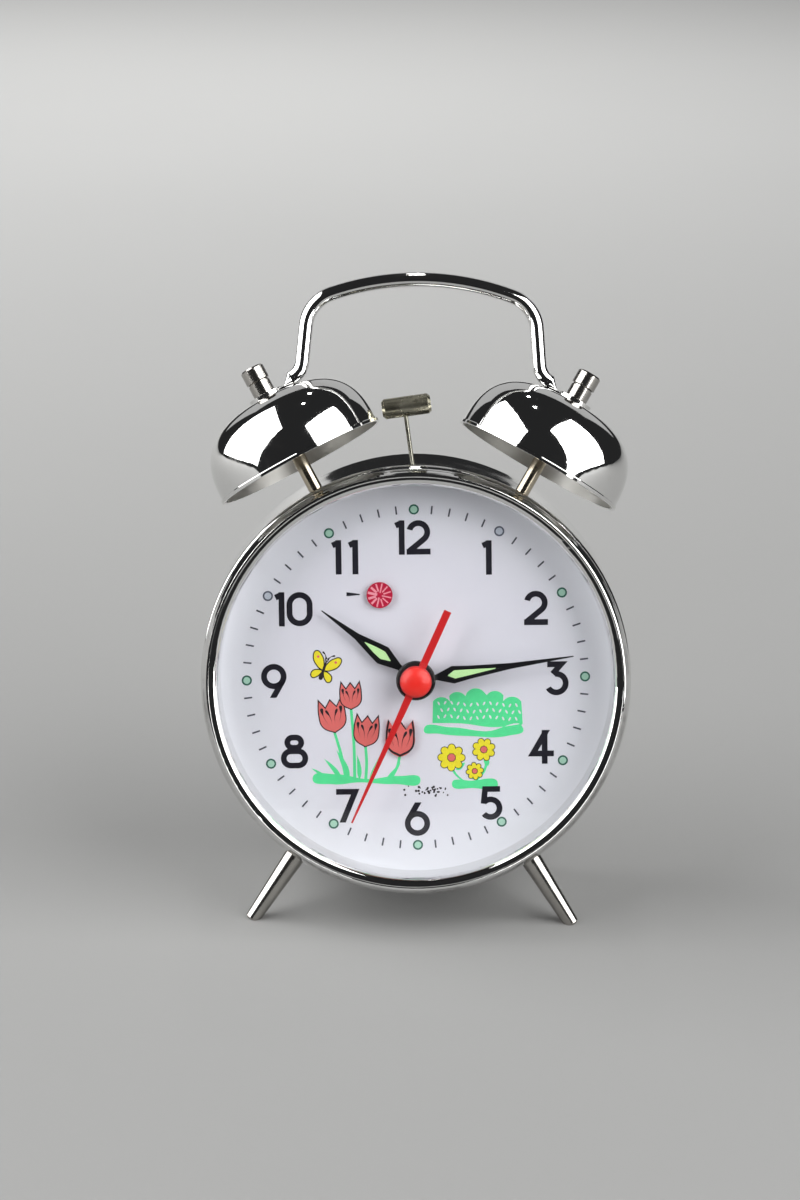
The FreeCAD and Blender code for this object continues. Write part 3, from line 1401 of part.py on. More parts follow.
def leaned(shape):
    """Lean a shape back with the clock."""
    copy = shape.copy()
    copy.rotate(V(0, 0, 0), V(1, 0, 0), -math.degrees(lean))
    return copy


placed = {name: [leaned(s) for s in shapes] for name, shapes in nodes.items()}
below_floor = Part.makeBox(300, 300, 50, V(-150, -150, floor_level - 50))
for word in ("left", "right"):
    placed[f"leg_{word}"] = [s.cut(below_floor) for s in placed[f"leg_{word}"]]

everything = Part.makeCompound([s for shapes in placed.values() for s in shapes])
box = everything.optimalBoundingBox(False)
shift = V(-(box.XMin + box.XMax) / 2, -(box.YMin + box.YMax) / 2, -floor_level)

os.makedirs("parts", exist_ok=True)
for name, shapes in placed.items():
    shape = Part.makeCompound(shapes) if len(shapes) > 1 else shapes[0]
    shape.translate(shift)
    shape.exportStep(f"parts/{name}.step")

print(f"nodes {len(nodes)}")
print(f"lean_deg {math.degrees(lean):.6f} shift_mm {shift.x:.6f} {shift.y:.6f} {shift.z:.6f}")
print(f"size_mm {box.XLength:.3f} {box.YLength:.3f} {box.ZLength:.3f}")
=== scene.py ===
"""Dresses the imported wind-up desk clock: chrome, print, hands, movement and a small studio."""

import json
import random
from math import atan2, cos, pi, radians, sin

import bmesh
import bpy
from bpy.props import FloatProperty, FloatVectorProperty, PointerProperty
from mathutils import Matrix, Vector


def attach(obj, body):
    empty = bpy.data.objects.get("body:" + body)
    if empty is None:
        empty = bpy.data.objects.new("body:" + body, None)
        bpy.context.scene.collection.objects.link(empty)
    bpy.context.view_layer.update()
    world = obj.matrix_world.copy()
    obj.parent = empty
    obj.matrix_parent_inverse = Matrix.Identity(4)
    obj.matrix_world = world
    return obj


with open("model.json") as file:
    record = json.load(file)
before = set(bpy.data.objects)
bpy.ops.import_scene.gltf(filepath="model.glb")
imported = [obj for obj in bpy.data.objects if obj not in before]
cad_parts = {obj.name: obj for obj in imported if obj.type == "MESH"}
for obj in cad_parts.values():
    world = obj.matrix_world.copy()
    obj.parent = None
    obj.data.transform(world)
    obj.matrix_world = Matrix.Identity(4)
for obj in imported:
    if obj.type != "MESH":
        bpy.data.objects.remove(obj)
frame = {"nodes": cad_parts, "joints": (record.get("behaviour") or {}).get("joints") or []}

bl_info = {
    "name": "Wind-up desk clock",
    "version": (1, 0, 0),
    "blender": (4, 5, 0),
    "location": "View3D > Sidebar > Clock",
    "description": "Finishes, dial print and studio for a wind-up twin-bell desk clock",
    "category": "Object",
}

MM = 0.001
WHITE = (1.0, 1.0, 1.0, 1.0)


def shown(red, green, blue):
    """The linear colour, with full alpha, of an 8-bit colour as it is seen."""

    def linear(value):
        part = value / 255
        return part / 12.92 if part <= 0.04045 else ((part + 0.055) / 1.055) ** 2.4

    return (linear(red), linear(green), linear(blue), 1.0)


# Places on the clock

TURNS = {joint["name"]: joint for joint in frame["joints"]}
MINUTE_HAND_DEPTH = 7.9 * MM
DIAL_AXIS = Vector(TURNS["minute_hand_turn"]["axis"]).normalized()
LEAN = atan2(-DIAL_AXIS.z, DIAL_AXIS.y)
DIAL_CENTRE = Vector(TURNS["minute_hand_turn"]["pos_m"]) - DIAL_AXIS * MINUTE_HAND_DEPTH
# Dial frame: x to the right, y along the drum's axis from the bezel's front, z up the dial
DIAL_FRAME = Matrix.Translation(DIAL_CENTRE) @ Matrix.Rotation(-LEAN, 4, "X")
TO_DIAL = DIAL_FRAME.inverted()
# The same frame with its z along the drum's axis, as the arbors lie
ARBOR_FRAME = DIAL_FRAME @ Matrix.Rotation(-pi / 2, 4, "X")


def dial_spot(joint):
    """Where a joint's axis crosses the dial plane, as (x, z) in the dial frame."""
    place = TO_DIAL @ Vector(TURNS[joint]["pos_m"])
    return place.x, place.z


def depths(node):
    """Front and back of a node along the drum's axis."""
    along = [(TO_DIAL @ vertex.co).y for vertex in frame["nodes"][node].data.vertices]
    return min(along), max(along)


DIAL_FRONT = depths("dial")[0]
BELL_SPREAD = radians(29.05)
BELL_LEAN = radians(6.5)
BELL_PLANE = 16.0 * MM
BELL_RIM = 62.0 * MM
BELL_RADIUS = 22.4 * MM
BELL_HEIGHT = 18.6 * MM
BELL_SQUARENESS = 2.8
BELL_WALL = 0.8 * MM
RIGHT_BELL_FRAME = (
    DIAL_FRAME
    @ Matrix.Translation((0, BELL_PLANE, 0))
    @ Matrix.Rotation(-BELL_LEAN, 4, "X")
    @ Matrix.Rotation(BELL_SPREAD, 4, "Y")
)
LEG_SPREAD = radians(180 - 33.0)
LEG_PLANE = 15.0 * MM
RIGHT_LEG_FRAME = (
    DIAL_FRAME @ Matrix.Translation((0, LEG_PLANE, 0)) @ Matrix.Rotation(LEG_SPREAD, 4, "Y")
)
HOUR_HAND_TURN = radians(305.4)
MINUTE_HAND_TURN = radians(80.3)
LUME_POCKET_DEPTH = 0.15 * MM
# Radii between which a finish changes: round the second hand's hub, where its painted highlight begins, and
# at a knob's rim
LIT_HUB_EDGE = (3.3 * MM, 4.0 * MM)
KNOB_RIM = (5.15 * MM, 5.55 * MM)
# The bezel's pressed profile, from its flat face over the crest to its rim:
# radius in millimetres, and height as a share of the relief
CREST = [(49.8, 0.90), (50.2, 0.90), (51.7, 0.45), (51.9, 0.447), (52.5, 0.567), (53.4, 0.027), (53.9, 0.0)]
CREST_START = 49.0
CREST_SPAN = 5.0
CREST_RELIEF = 1.5 * MM
# How far the drum's sheet widens towards the back, over the solid's own widening
DRUM_FLARE = 0.03


# Settings that a user would change


def colour(name, description, default):
    """A colour setting."""
    return FloatVectorProperty(
        name=name, description=description, subtype="COLOR", size=4, min=0, max=1, default=default
    )


def length(name, description, default):
    """A length setting, in metres."""
    return FloatProperty(name=name, description=description, unit="LENGTH", min=0, default=default)


def share(name, description, default):
    """A setting between nought and one."""
    return FloatProperty(
        name=name, description=description, subtype="FACTOR", min=0, max=1, default=default
    )


def angle(name, description, degrees):
    """An angle setting, given in degrees."""
    return FloatProperty(
        name=name, description=description, unit="ROTATION", subtype="ANGLE", default=radians(degrees)
    )


def power(name, description, watts):
    """A lamp's power setting."""
    return FloatProperty(name=name, description=description, subtype="POWER", min=0, default=watts)


class MetalSettings(bpy.types.PropertyGroup):
    """Tints and wear of the clock's metals."""

    chrome: colour("Chrome", "Tint of the bright chrome", (0.80, 0.80, 0.79, 1))
    bell_inside: colour("Bell inside", "Unpolished plating inside the bells", shown(206, 205, 201))
    nickel: colour("Nickel", "Legs and round nuts", (0.53, 0.51, 0.48, 1))
    post: colour("Bell posts", "Brass-toned plating of the bell posts", (0.62, 0.55, 0.43, 1))
    hammer: colour("Hammer", "Dull, tarnished steel of the hammer", shown(190, 184, 156))
    wire: colour("Hammer wire", "Steel wire of the hammer", shown(158, 156, 140))
    brass: colour("Brass", "Movement plates and wheels", shown(205, 164, 92))
    steel: colour("Steel", "Pillars, screws and arbors", shown(176, 176, 178))
    blued: colour("Blued steel", "Mainsprings and hairspring", shown(52, 66, 112))
    cover: colour("Back cover", "Spun back cover", shown(190, 190, 190))
    smudge: share("Smudges", "How far handling dulls the chrome", 0.10)
    dust: share("Dust", "Dust lying on the bright metal", 0.35)
    wave_depth: length("Sheet waves", "Depth of the pressed sheet's slow waves", 0.06 * MM)


class DialSettings(bpy.types.PropertyGroup):
    """Sizes and inks of the dial's print."""

    sheet: colour("Dial", "Ground colour of the dial", shown(224, 222, 232))
    numeral_height: length("Numeral height", "Height of the numerals", 8.7 * MM)
    numeral_stroke: length("Numeral stroke", "Width of the pen stroke", 1.47 * MM)
    ring_radius: length("Hour ring", "Radius of the ring of dots and marks", 43.0 * MM)
    dot_diameter: length("Hour dot", "Diameter of an hour dot", 2.6 * MM)
    dot_ring: length("Dot outline", "Width of an hour dot's outline", 0.42 * MM)
    mark_length: length("Mark length", "Length of a minute mark", 2.1 * MM)
    mark_width: length("Mark width", "Width of a minute mark", 0.42 * MM)
    ink: length("Ink", "Thickness of one layer of ink", 0.02 * MM)
    turn: angle("Print turn", "How far the print is turned on the clock", -1.6)
    numeral: colour("Numeral ink", "Ink of the numerals", shown(14, 10, 27))
    mark: colour("Mark ink", "Ink of the minute marks", shown(74, 76, 88))
    dot_line: colour("Dot line", "Outline of the green dots", shown(40, 98, 82))
    dot_fill: colour("Dot fill", "Luminous fill of the green dots", shown(182, 220, 210))
    bare_line: colour("Bare dot line", "Outline of the two bare dots", shown(92, 96, 112))
    bare_fill: colour("Bare dot fill", "Fill of the two bare dots", shown(200, 206, 218))


class PictureSettings(bpy.types.PropertyGroup):
    """Inks of the flower picture."""

    coral: colour("Coral", "Tulips", shown(224, 108, 104))
    mint: colour("Mint", "Hedge, stems and leaves", shown(86, 228, 152))
    yellow: colour("Yellow", "Daisies and butterfly", shown(240, 224, 44))
    line: colour("Line", "Outlines and specks", shown(30, 20, 26))
    line_width: length("Line width", "Width of the dark outlines", 0.28 * MM)


class HandSettings(bpy.types.PropertyGroup):
    """Paints of the hands and the alarm disc."""

    black: colour("Hand black", "Hour and minute hand", shown(14, 14, 18))
    # The second hand and its hub share one red paint: the hand's red is a darker copy, partly painted shade,
    # and the hub's red a brighter copy, a painted highlight
    red: colour("Hand red", "Second hand", shown(206, 36, 38))
    lit_hub_red: colour("Hub red", "Domed hub of the second hand", shown(246, 44, 34))
    lume: colour("Luminous paint", "Fill of the hands", shown(204, 242, 180))
    crimson: colour("Alarm disc", "Alarm disc", shown(190, 26, 62))
    disc_mark: colour("Disc marks", "Bars on the alarm disc", shown(240, 150, 164))


class StudioSettings(bpy.types.PropertyGroup):
    """Paper, lamps and camera."""

    sweep: colour("Paper", "Paper under and behind the clock", shown(138, 138, 137))
    left: power("Left lamp", "Power of the left soft lamp", 24)
    right: power("Right lamp", "Power of the right soft lamp", 19)
    paper_lamp: power("Paper lamp", "Power of the lamp over the paper behind", 13)
    far_lamp: power("Far lamp", "Power of the lamp over the far end of the paper", 27)
    spot: power("Small lamps", "Power of each small high lamp", 0.28)
    fill: power("Back panel", "Power of the dim panel behind", 4.5)
    room: FloatProperty(name="Room", description="Level of the room's light", default=0.022)
    distance: length("Camera distance", "From the dial's centre", 700 * MM)
    height: angle("Camera height", "Above the dial's axis", 7.5)
    roll: angle("Camera roll", "Turn of the camera about its view", 0.9)
    lens: FloatProperty(name="Lens", description="Focal length for a 36 mm long side", default=84)
    shift_x: FloatProperty(name="Shift X", description="Sideways shift", default=-0.01317)
    shift_y: FloatProperty(name="Shift Y", description="Upward shift", default=0.0705)


# Finishes. Scales of noise and cells are per metre: 1000 gives a grain of about a millimetre


def darker(tint, part, lift=0.0):
    """A share of a tint, lifted a little where the ground shows through."""
    return (*(value * part + lift for value in tint[:3]), 1.0)


class Shade:
    """A number, colour or vector that leaves one socket of a finish."""

    def __init__(self, finish, socket):
        self.finish = finish
        self.socket = socket

    def maths(self, operation, first, second=0.0):
        return self.finish.node("ShaderNodeMath", {"operation": operation}, {0: first, 1: second})

    def __add__(self, other):
        return self.maths("ADD", self, other)

    def __sub__(self, other):
        return self.maths("SUBTRACT", self, other)

    def __rsub__(self, other):
        return self.maths("SUBTRACT", other, self)

    def __mul__(self, other):
        return self.maths("MULTIPLY", self, other)

    def __truediv__(self, other):
        return self.maths("DIVIDE", self, other)

    def __pow__(self, other):
        return self.maths("POWER", self, other)

    __radd__ = __add__
    __rmul__ = __mul__

    def size(self):
        return self.maths("ABSOLUTE", self)

    def sine(self):
        return self.maths("SINE", self)


class Finish:
    """One procedural material, built node by node."""

    def __init__(self, name):
        self.material = bpy.data.materials.new(name)
        self.material.use_nodes = True
        self.tree = self.material.node_tree
        self.tree.nodes.clear()
        self.point = self.node("ShaderNodeTexCoord", output="Object")

    def node(self, kind, settings=None, sockets=None, output=0):
        """Add a node: its settings first, then its sockets' values or links."""
        node = self.tree.nodes.new(kind)
        for name, value in (settings or {}).items():
            if name == "stops":
                ramp = node.color_ramp
                while len(ramp.elements) < len(value):
                    ramp.elements.new(0.5)
                for element, (position, tint) in zip(ramp.elements, value):
                    element.position = position
                    element.color = tint
            else:
                setattr(node, name, value)
        for name, value in (sockets or {}).items():
            if isinstance(value, Shade):
                self.tree.links.new(value.socket, node.inputs[name])
            else:
                node.inputs[name].default_value = value
        return Shade(self, node.outputs[output]) if node.outputs else None

    def local(self, place=DIAL_FRAME, mirrored=False):
        """Object coordinates seen from a frame; the left half may mirror the right."""
        point = self.point
        if mirrored:
            x, y, z = self.split(point)
            point = self.join(x.size(), y, z)
        return self.node(
            "ShaderNodeMapping",
            {"vector_type": "TEXTURE"},
            {"Vector": point, "Location": place.to_translation(), "Rotation": place.to_euler()},
        )

    def radius(self, place=DIAL_FRAME):
        """Distance from a frame's y axis, which is the drum's axis in the dial frame."""
        x, _, z = self.split(self.local(place))
        return (x * x + z * z) ** 0.5

    def split(self, vector):
        """The three numbers of a vector."""
        first = self.node("ShaderNodeSeparateXYZ", sockets={0: vector})
        return [Shade(self, socket) for socket in first.socket.node.outputs]

    def join(self, x, y, z):
        """A vector from three numbers."""
        return self.node("ShaderNodeCombineXYZ", sockets={0: x, 1: y, 2: z})

    def stretched(self, scale, at=None):
        """Coordinates scaled along their three axes."""
        sockets = {0: at or self.point, 1: scale}
        return self.node("ShaderNodeVectorMath", {"operation": "MULTIPLY"}, sockets)

    def noise(self, scale, detail=3.0, roughness=0.5, at=None):
        """Even noise between nought and one."""
        sockets = {"Vector": at or self.point, "Scale": scale, "Detail": detail, "Roughness": roughness}
        return self.node("ShaderNodeTexNoise", sockets=sockets)

    def cells(self, scale, feature="F1", at=None):
        """Distance from the middles, or from the edges, of a pattern of cells."""
        sockets = {"Vector": at or self.point, "Scale": scale}
        return self.node("ShaderNodeTexVoronoi", {"feature": feature}, sockets, "Distance")

    def ramp(self, factor, stops):
        """A colour from a ramp of stops."""
        return self.node("ShaderNodeValToRGB", {"stops": stops}, {"Fac": factor})

    def step(self, value, low, high):
        """Nought below low, one above high, smooth between them."""
        return self.node(
            "ShaderNodeMapRange",
            {"interpolation_type": "SMOOTHSTEP"},
            {"Value": value, "From Min": low, "From Max": high},
        )

    def blend(self, factor, first, second):
        """A colour between two others."""
        settings = {"data_type": "RGBA", "clamp_factor": True}
        return self.node("ShaderNodeMix", settings, {0: factor, 6: first, 7: second}, output=2)

    def bump(self, height, depth, strength=1.0, normal=None):
        """A bumped normal from a height between nought and one."""
        sockets = {"Strength": strength, "Distance": depth, "Height": height}
        if normal:
            sockets["Normal"] = normal
        return self.node("ShaderNodeBump", sockets=sockets)

    def surface(self, **sockets):
        """Close the finish with a Principled shader; underscores stand for spaces."""
        named = {name.replace("_", " "): value for name, value in sockets.items()}
        return self.close(self.node("ShaderNodeBsdfPrincipled", sockets=named))

    def metal(self, tint, roughness, normal):
        """Close the finish as a bare metal."""
        return self.surface(Base_Color=tint, Metallic=1.0, Roughness=roughness, Normal=normal)

    def close(self, shader):
        """Link a shader to the material's output."""
        self.node("ShaderNodeOutputMaterial", sockets={"Surface": shader})
        return self.material


def bright_chrome(name, metal, inside=False, crest=False, flare=0.0):
    """Bright chrome over pressed sheet; a bell's unpolished inside is told by its shape."""
    finish = Finish(name)
    smudge = finish.step(finish.noise(70, 6, 0.62), 0.46, 0.74)
    wipes = finish.noise(5, 4, 0.6, finish.stretched((60, 420, 140)))
    patch = finish.step(finish.noise(260, 2), 0.52, 0.62)
    dust = (1 - finish.step(finish.cells(620.0), 0.05, 0.13)) * patch * metal.dust
    roughness = 0.028 + smudge * metal.smudge + wipes ** 3 * 0.06 + dust * 0.45
    tint = finish.blend(dust, metal.chrome, shown(205, 204, 202))
    tint = finish.blend(smudge * 0.25, tint, shown(196, 190, 182))
    normal = finish.bump(finish.noise(48, 1.5), metal.wave_depth)
    if flare:
        depth = finish.split(finish.local())[1]
        normal = finish.bump(depth * (flare / MM), 1.0 * MM, 1.0, normal)
    if crest:
        stops = [((at - CREST_START) / CREST_SPAN, (high, high, high, 1.0)) for at, high in CREST]
        across = (finish.radius() - CREST_START * MM) * (1 / (CREST_SPAN * MM))
        normal = finish.bump(finish.ramp(across, stops), CREST_RELIEF, 1.0, normal)
    if inside:
        x, y, z = finish.split(finish.local(RIGHT_BELL_FRAME, mirrored=True))
        around = (x * x + y * y) ** 0.5
        level = (around / BELL_RADIUS) ** BELL_SQUARENESS
        level = level + ((z - BELL_RIM).size() / BELL_HEIGHT) ** BELL_SQUARENESS
        middle = (1 - BELL_WALL / BELL_RADIUS * 0.5) ** BELL_SQUARENESS
        inner = 1 - finish.step(level, middle - 0.01, middle + 0.01)
        lathe = finish.noise(2600, 2, at=finish.join(around, z, 0.0))
        stain = finish.noise(110, 5, 0.6)
        roughness = roughness * (1 - inner) + (0.30 + stain * 0.14) * inner
        drab = finish.blend(stain, metal.bell_inside, shown(186, 184, 180))
        tint = finish.blend(inner, tint, drab)
        normal = finish.bump(lathe * inner, 0.05 * MM, 0.6, normal)
    return finish.metal(tint, roughness, normal)


def turned_metal(name, tint, place, roughness=0.10, mirrored=True, ring=2200.0):
    """Metal turned on a lathe: fine rings about an axis, a few nicks and finger marks."""
    finish = Finish(name)
    along = finish.split(finish.local(place, mirrored))[2]
    rings = finish.noise(ring, 3, 0.6, finish.join(0.0, 0.0, along))
    cloud = finish.noise(160, 5, 0.6)
    nicks = 1 - finish.step(finish.noise(1500, 2), 0.26, 0.34)
    return finish.metal(
        finish.blend(cloud, tint, darker(tint, 0.6)),
        roughness + rings * 0.08 + cloud * 0.06,
        finish.bump(rings - nicks * 0.8, 0.012 * MM),
    )


def spun_metal(name, tint, roughness):
    """A sheet spun or brushed in circles about the drum's axis."""
    finish = Finish(name)
    rings = finish.noise(3000, 3, 0.7, finish.join(finish.radius(), 0.0, 0.0))
    handled = finish.step(finish.noise(55, 6, 0.6), 0.42, 0.7)
    shade = finish.blend(handled, tint, darker(tint, 0.86))
    return finish.metal(
        finish.blend(rings * 0.35, shade, WHITE),
        roughness + rings * 0.10 + handled * 0.12,
        finish.bump(rings, 0.006 * MM),
    )


def brushed_metal(name, tint, roughness, grain=(60.0, 1500.0, 1500.0), worn=0.6, stain=0.55):
    """Flat metal with a straight grain, tarnish at random and small scratches."""
    finish = Finish(name)
    lines = finish.noise(1.0, 3, 0.6, finish.stretched(grain, finish.local()))
    tarnish = finish.step(finish.noise(90, 6, 0.65), 0.40, 0.76)
    edges = finish.cells(150.0, "DISTANCE_TO_EDGE", finish.stretched((1.0, 0.3, 1.4)))
    scratch = 1 - finish.step(edges, 0.0, 0.012)
    shade = finish.blend(tarnish * worn, tint, darker(tint, stain))
    return finish.metal(
        finish.blend(lines * 0.2, shade, WHITE),
        roughness + lines * 0.10 + tarnish * 0.15,
        finish.bump(lines - scratch * 0.6, 0.008 * MM),
    )


def blued_steel(name, tint):
    """Spring steel blued in a flame, straw where it cooled first."""
    finish = Finish(name)
    heat = finish.noise(60, 4, 0.55)
    fine = finish.noise(1800, 2)
    colours = [(0.30, shown(126, 96, 66)), (0.46, shown(88, 62, 104)), (0.62, tint)]
    return finish.metal(finish.ramp(heat, colours), 0.24 + fine * 0.14, finish.bump(fine, 0.004 * MM))


def knurled_brass(name, tint, joint):
    """Brass knob, bright on its worn rim and dull in its grip flutes."""
    finish = Finish(name)
    x, z = dial_spot(joint)
    around = finish.radius(DIAL_FRAME @ Matrix.Translation((x, 0, z)))
    worn = finish.step(around, *KNOB_RIM)
    cloud = finish.noise(240, 5, 0.6)
    rings = finish.noise(2400, 2, at=finish.join(around, 0.0, 0.0))
    return finish.metal(
        finish.blend(worn * 0.8 + cloud * 0.3, darker(tint, 0.42), tint),
        0.46 - worn * 0.2 + cloud * 0.12,
        finish.bump(rings, 0.01 * MM),
    )


def enamel(name, tint, gloss, speckle=0.06, hub=None):
    """Baked paint: faint orange peel, a little cloudiness, a clear gloss and a hub of its own tint, a
    brighter copy that is a painted highlight on a domed hub.
    """
    finish = Finish(name)
    peel = finish.noise(700, 3, 0.5)
    cloud = finish.noise(80, 5, 0.6)
    shade = finish.blend(cloud, tint, darker(tint, 0.9))
    if hub:
        shade = finish.blend(finish.step(finish.radius(), *LIT_HUB_EDGE), hub, shade)
    return finish.surface(
        Base_Color=shade,
        Roughness=gloss + peel * speckle + cloud * 0.05,
        Normal=finish.bump(peel, 0.006 * MM),
        IOR=1.48,
    )


# Radians per metre: the printing screen's weave repeats every 1.2 mm
SCREEN_PITCH = 5200


def screen_ink(name, tint, matt=0.5):
    """Screen-printed ink: the screen's weave, uneven cover, dry surface."""
    finish = Finish(name)
    place = finish.local()
    x, _, z = finish.split(place)
    weave = (x * SCREEN_PITCH).sine() * (z * SCREEN_PITCH).sine()
    cover = finish.noise(500, 4, 0.6, place)
    return finish.surface(
        Base_Color=finish.blend(finish.step(cover, 0.35, 0.75), tint, darker(tint, 0.92, 0.004)),
        Roughness=matt + cover * 0.12,
        Normal=finish.bump(weave * 0.5 + cover, 0.003 * MM),
        IOR=1.46,
    )


def dial_paint(name, tint):
    """White lacquer on the dial sheet, very slightly cloudy, with a fine tooth; its paler rim is painted
    light.
    """
    finish = Finish(name)
    cloud = finish.noise(26, 4, 0.5, finish.local())
    tooth = finish.noise(1600, 2, at=finish.local())
    # Paler towards the rim: a painted reflection of the crystal's sloped rim, and painted light over the
    # shade of the bezel's lip
    rim = finish.step(finish.radius(), 30 * MM, 50 * MM)
    painted_light_rim = finish.blend(rim * 0.65, tint, shown(246, 248, 254))
    return finish.surface(
        Base_Color=finish.blend(cloud * 0.4, painted_light_rim, shown(228, 226, 234)),
        Roughness=0.34 + tooth * 0.08 + cloud * 0.05,
        Normal=finish.bump(tooth, 0.002 * MM),
        Coat_Weight=0.15,
        Coat_Roughness=0.12,
    )


def luminous_paint(name, tint):
    """Grainy luminous paint laid thick."""
    finish = Finish(name)
    grain = finish.noise(2600, 3, 0.7)
    pool = finish.noise(380, 3)
    deep = (tint[0] * 0.72, tint[1] * 0.86, tint[2] * 0.62, 1.0)
    return finish.surface(
        Base_Color=finish.blend(grain * 0.6 + pool * 0.3, tint, deep),
        Roughness=0.62 + grain * 0.25,
        Normal=finish.bump(grain + pool, 0.02 * MM),
    )


def clear_pane(name):
    """Thin clear crystal: nearly all passes, and the rest is a clean reflection."""
    finish = Finish(name)
    facing = finish.node("ShaderNodeLayerWeight", sockets={"Blend": 0.5}, output="Facing")
    film = finish.noise(40, 5, 0.6)
    clear = finish.blend(film, (0.985, 0.99, 0.99, 1), (0.965, 0.97, 0.972, 1))
    through = finish.node("ShaderNodeBsdfTransparent", sockets={"Color": clear})
    gloss = finish.node("ShaderNodeBsdfGlossy", sockets={"Color": WHITE, "Roughness": 0.02})
    reflected = 0.035 + 0.9 * facing ** 5
    return finish.close(
        finish.node("ShaderNodeMixShader", sockets={0: reflected, 1: through, 2: gloss})
    )


def paper(name, tint):
    """Matt paper under and behind the clock."""
    finish = Finish(name)
    fibre = finish.noise(900, 4, 0.6)
    cloud = finish.noise(2.2, 3)
    return finish.surface(
        Base_Color=finish.blend(cloud, tint, darker(tint, 0.94)),
        Roughness=0.82 + fibre * 0.1,
        Normal=finish.bump(fibre, 0.02 * MM),
        Specular_IOR_Level=0.2,
    )


def coat_nodes(material, *names):
    """Give CAD nodes one finish in every slot."""
    for name in names:
        slots = frame["nodes"][name].data.materials
        if not slots:
            slots.append(material)
        for index in range(len(slots)):
            slots[index] = material


# Making pieces


def new_object(name, data):
    """An object of its own for a mesh, curve, lamp or camera."""
    made = bpy.data.objects.new(name, data)
    bpy.context.scene.collection.objects.link(made)
    return made


def piece_from(mesh, name, materials, body="case", place=DIAL_FRAME):
    """Turn a bmesh, drawn in metres in its own frame, into a piece that rides on a body."""
    bmesh.ops.remove_doubles(mesh, verts=mesh.verts, dist=1e-7)
    bmesh.ops.recalc_face_normals(mesh, faces=mesh.faces)
    bmesh.ops.transform(mesh, matrix=place, verts=mesh.verts)
    data = bpy.data.meshes.new(name)
    mesh.to_mesh(data)
    mesh.free()
    piece_of(data, name, materials, body)


def piece_of(data, name, materials, body):
    """Put a finished mesh in the scene and tie it to its body."""
    for material in materials:
        data.materials.append(material)
    piece = new_object(name, data)
    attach(piece, body)


def add_drawn(mesh, drawn, place):
    """Move a drawing to its place and add it to a mesh."""
    bmesh.ops.transform(drawn, matrix=place, verts=drawn.verts)
    part = bpy.data.meshes.new("drawn")
    drawn.to_mesh(part)
    drawn.free()
    mesh.from_mesh(part)
    bpy.data.meshes.remove(part)


def of_kind(items, kind):
    """The vertices, edges or faces among an operator's results."""
    return [item for item in items if isinstance(item, kind)]


def thicken(mesh, faces, thickness):
    """Extrude flat faces towards the dial's front; returns the raised ones."""
    made = bmesh.ops.extrude_face_region(mesh, geom=faces)["geom"]
    bmesh.ops.translate(mesh, vec=(0, -thickness, 0), verts=of_kind(made, bmesh.types.BMVert))
    return of_kind(made, bmesh.types.BMFace)


def on_dial(x, z, depth=DIAL_FRONT):
    """A place on the dial, from its millimetres across and up."""
    return Matrix.Translation((x * MM, depth, z * MM))


class Pen:
    """Draws strokes of constant width in the dial plane; x runs right and z up."""

    def __init__(self, mesh, width):
        self.mesh = mesh
        self.width = width
        self.strokes = []

    def across(self):
        return Vector((-sin(self.heading), 0, cos(self.heading))) * (self.width / 2)

    def forward(self):
        return Vector((cos(self.heading), 0, sin(self.heading)))

    def down(self, x, z, degrees):
        """Set the pen down, heading so many degrees up from the right."""
        self.heading = radians(degrees)
        self.spot = Vector((x, 0, z))
        left = self.mesh.verts.new(self.spot + self.across())
        right = self.mesh.verts.new(self.spot - self.across())
        self.edge = self.mesh.edges.new((left, right))
        self.ends = [left, right]
        self.strokes.append([])
        return self

    def ahead(self, distance):
        """A straight run."""
        self.spot = self.spot + self.forward() * distance
        made = bmesh.ops.extrude_edge_only(self.mesh, edges=[self.edge])["geom"]
        ends = of_kind(made, bmesh.types.BMVert)
        ends.sort(key=lambda vert: (vert.co - self.ends[0].co).length)
        ends[0].co = self.spot + self.across()
        ends[1].co = self.spot - self.across()
        edges = of_kind(made, bmesh.types.BMEdge)
        self.edge = next(edge for edge in edges if set(edge.verts) == set(ends))
        self.ends = ends
        self.strokes[-1] += of_kind(made, bmesh.types.BMFace)
        return self

    def corner(self, degrees):
        """A sharp corner to the left, or to the right if the turn is negative."""
        turn = radians(degrees)
        reach = self.width / 2 * sin(turn / 2) / cos(turn / 2)
        self.ends[0].co -= self.forward() * reach
        self.ends[1].co += self.forward() * reach
        self.heading += turn
        return self

    def bend(self, radius, degrees):
        """A round bend to the left, or to the right if the turn is negative."""
        turn = radians(degrees)
        side = 1 if turn > 0 else -1
        centre = self.spot + self.across().normalized() * radius * side
        last = bmesh.ops.spin(
            self.mesh,
            geom=[self.edge, *self.ends],
            cent=centre,
            axis=(0, 1, 0),
            angle=-turn,
            steps=max(4, int(abs(degrees) / 9)),
        )["geom_last"]
        self.heading += turn
        self.spot = centre - self.across().normalized() * radius * side
        self.ends = of_kind(last, bmesh.types.BMVert)
        self.ends.sort(key=lambda vert: (vert.co - self.spot - self.across()).length)
        self.edge = of_kind(last, bmesh.types.BMEdge)[0]
        known = {face for stroke in self.strokes for face in stroke}
        self.strokes[-1] += [face for face in self.mesh.faces if face not in known]
        return self

    def level(self, z):
        """Cut the end of a run level at a height."""
        ahead = self.forward()
        for vert in self.ends:
            vert.co += ahead * ((z - vert.co.z) / ahead.z)
        return self


# Numerals are drawn in millimetres about their own middle:
# half their height, and the height of the level stroke at the top or the foot of one
HALF = 4.35
BAR = 3.615
# How many layers of ink a numeral's first stroke has, and each further one more, as a share
NUMERAL_LAYERS = 1.4
STROKE_RISE = 0.2


def draw_one(pen, x):
    pen.down(x, -HALF, 90).ahead(2 * HALF)
    pen.down(x - 1.55, 3.02, 24).ahead(1.75)


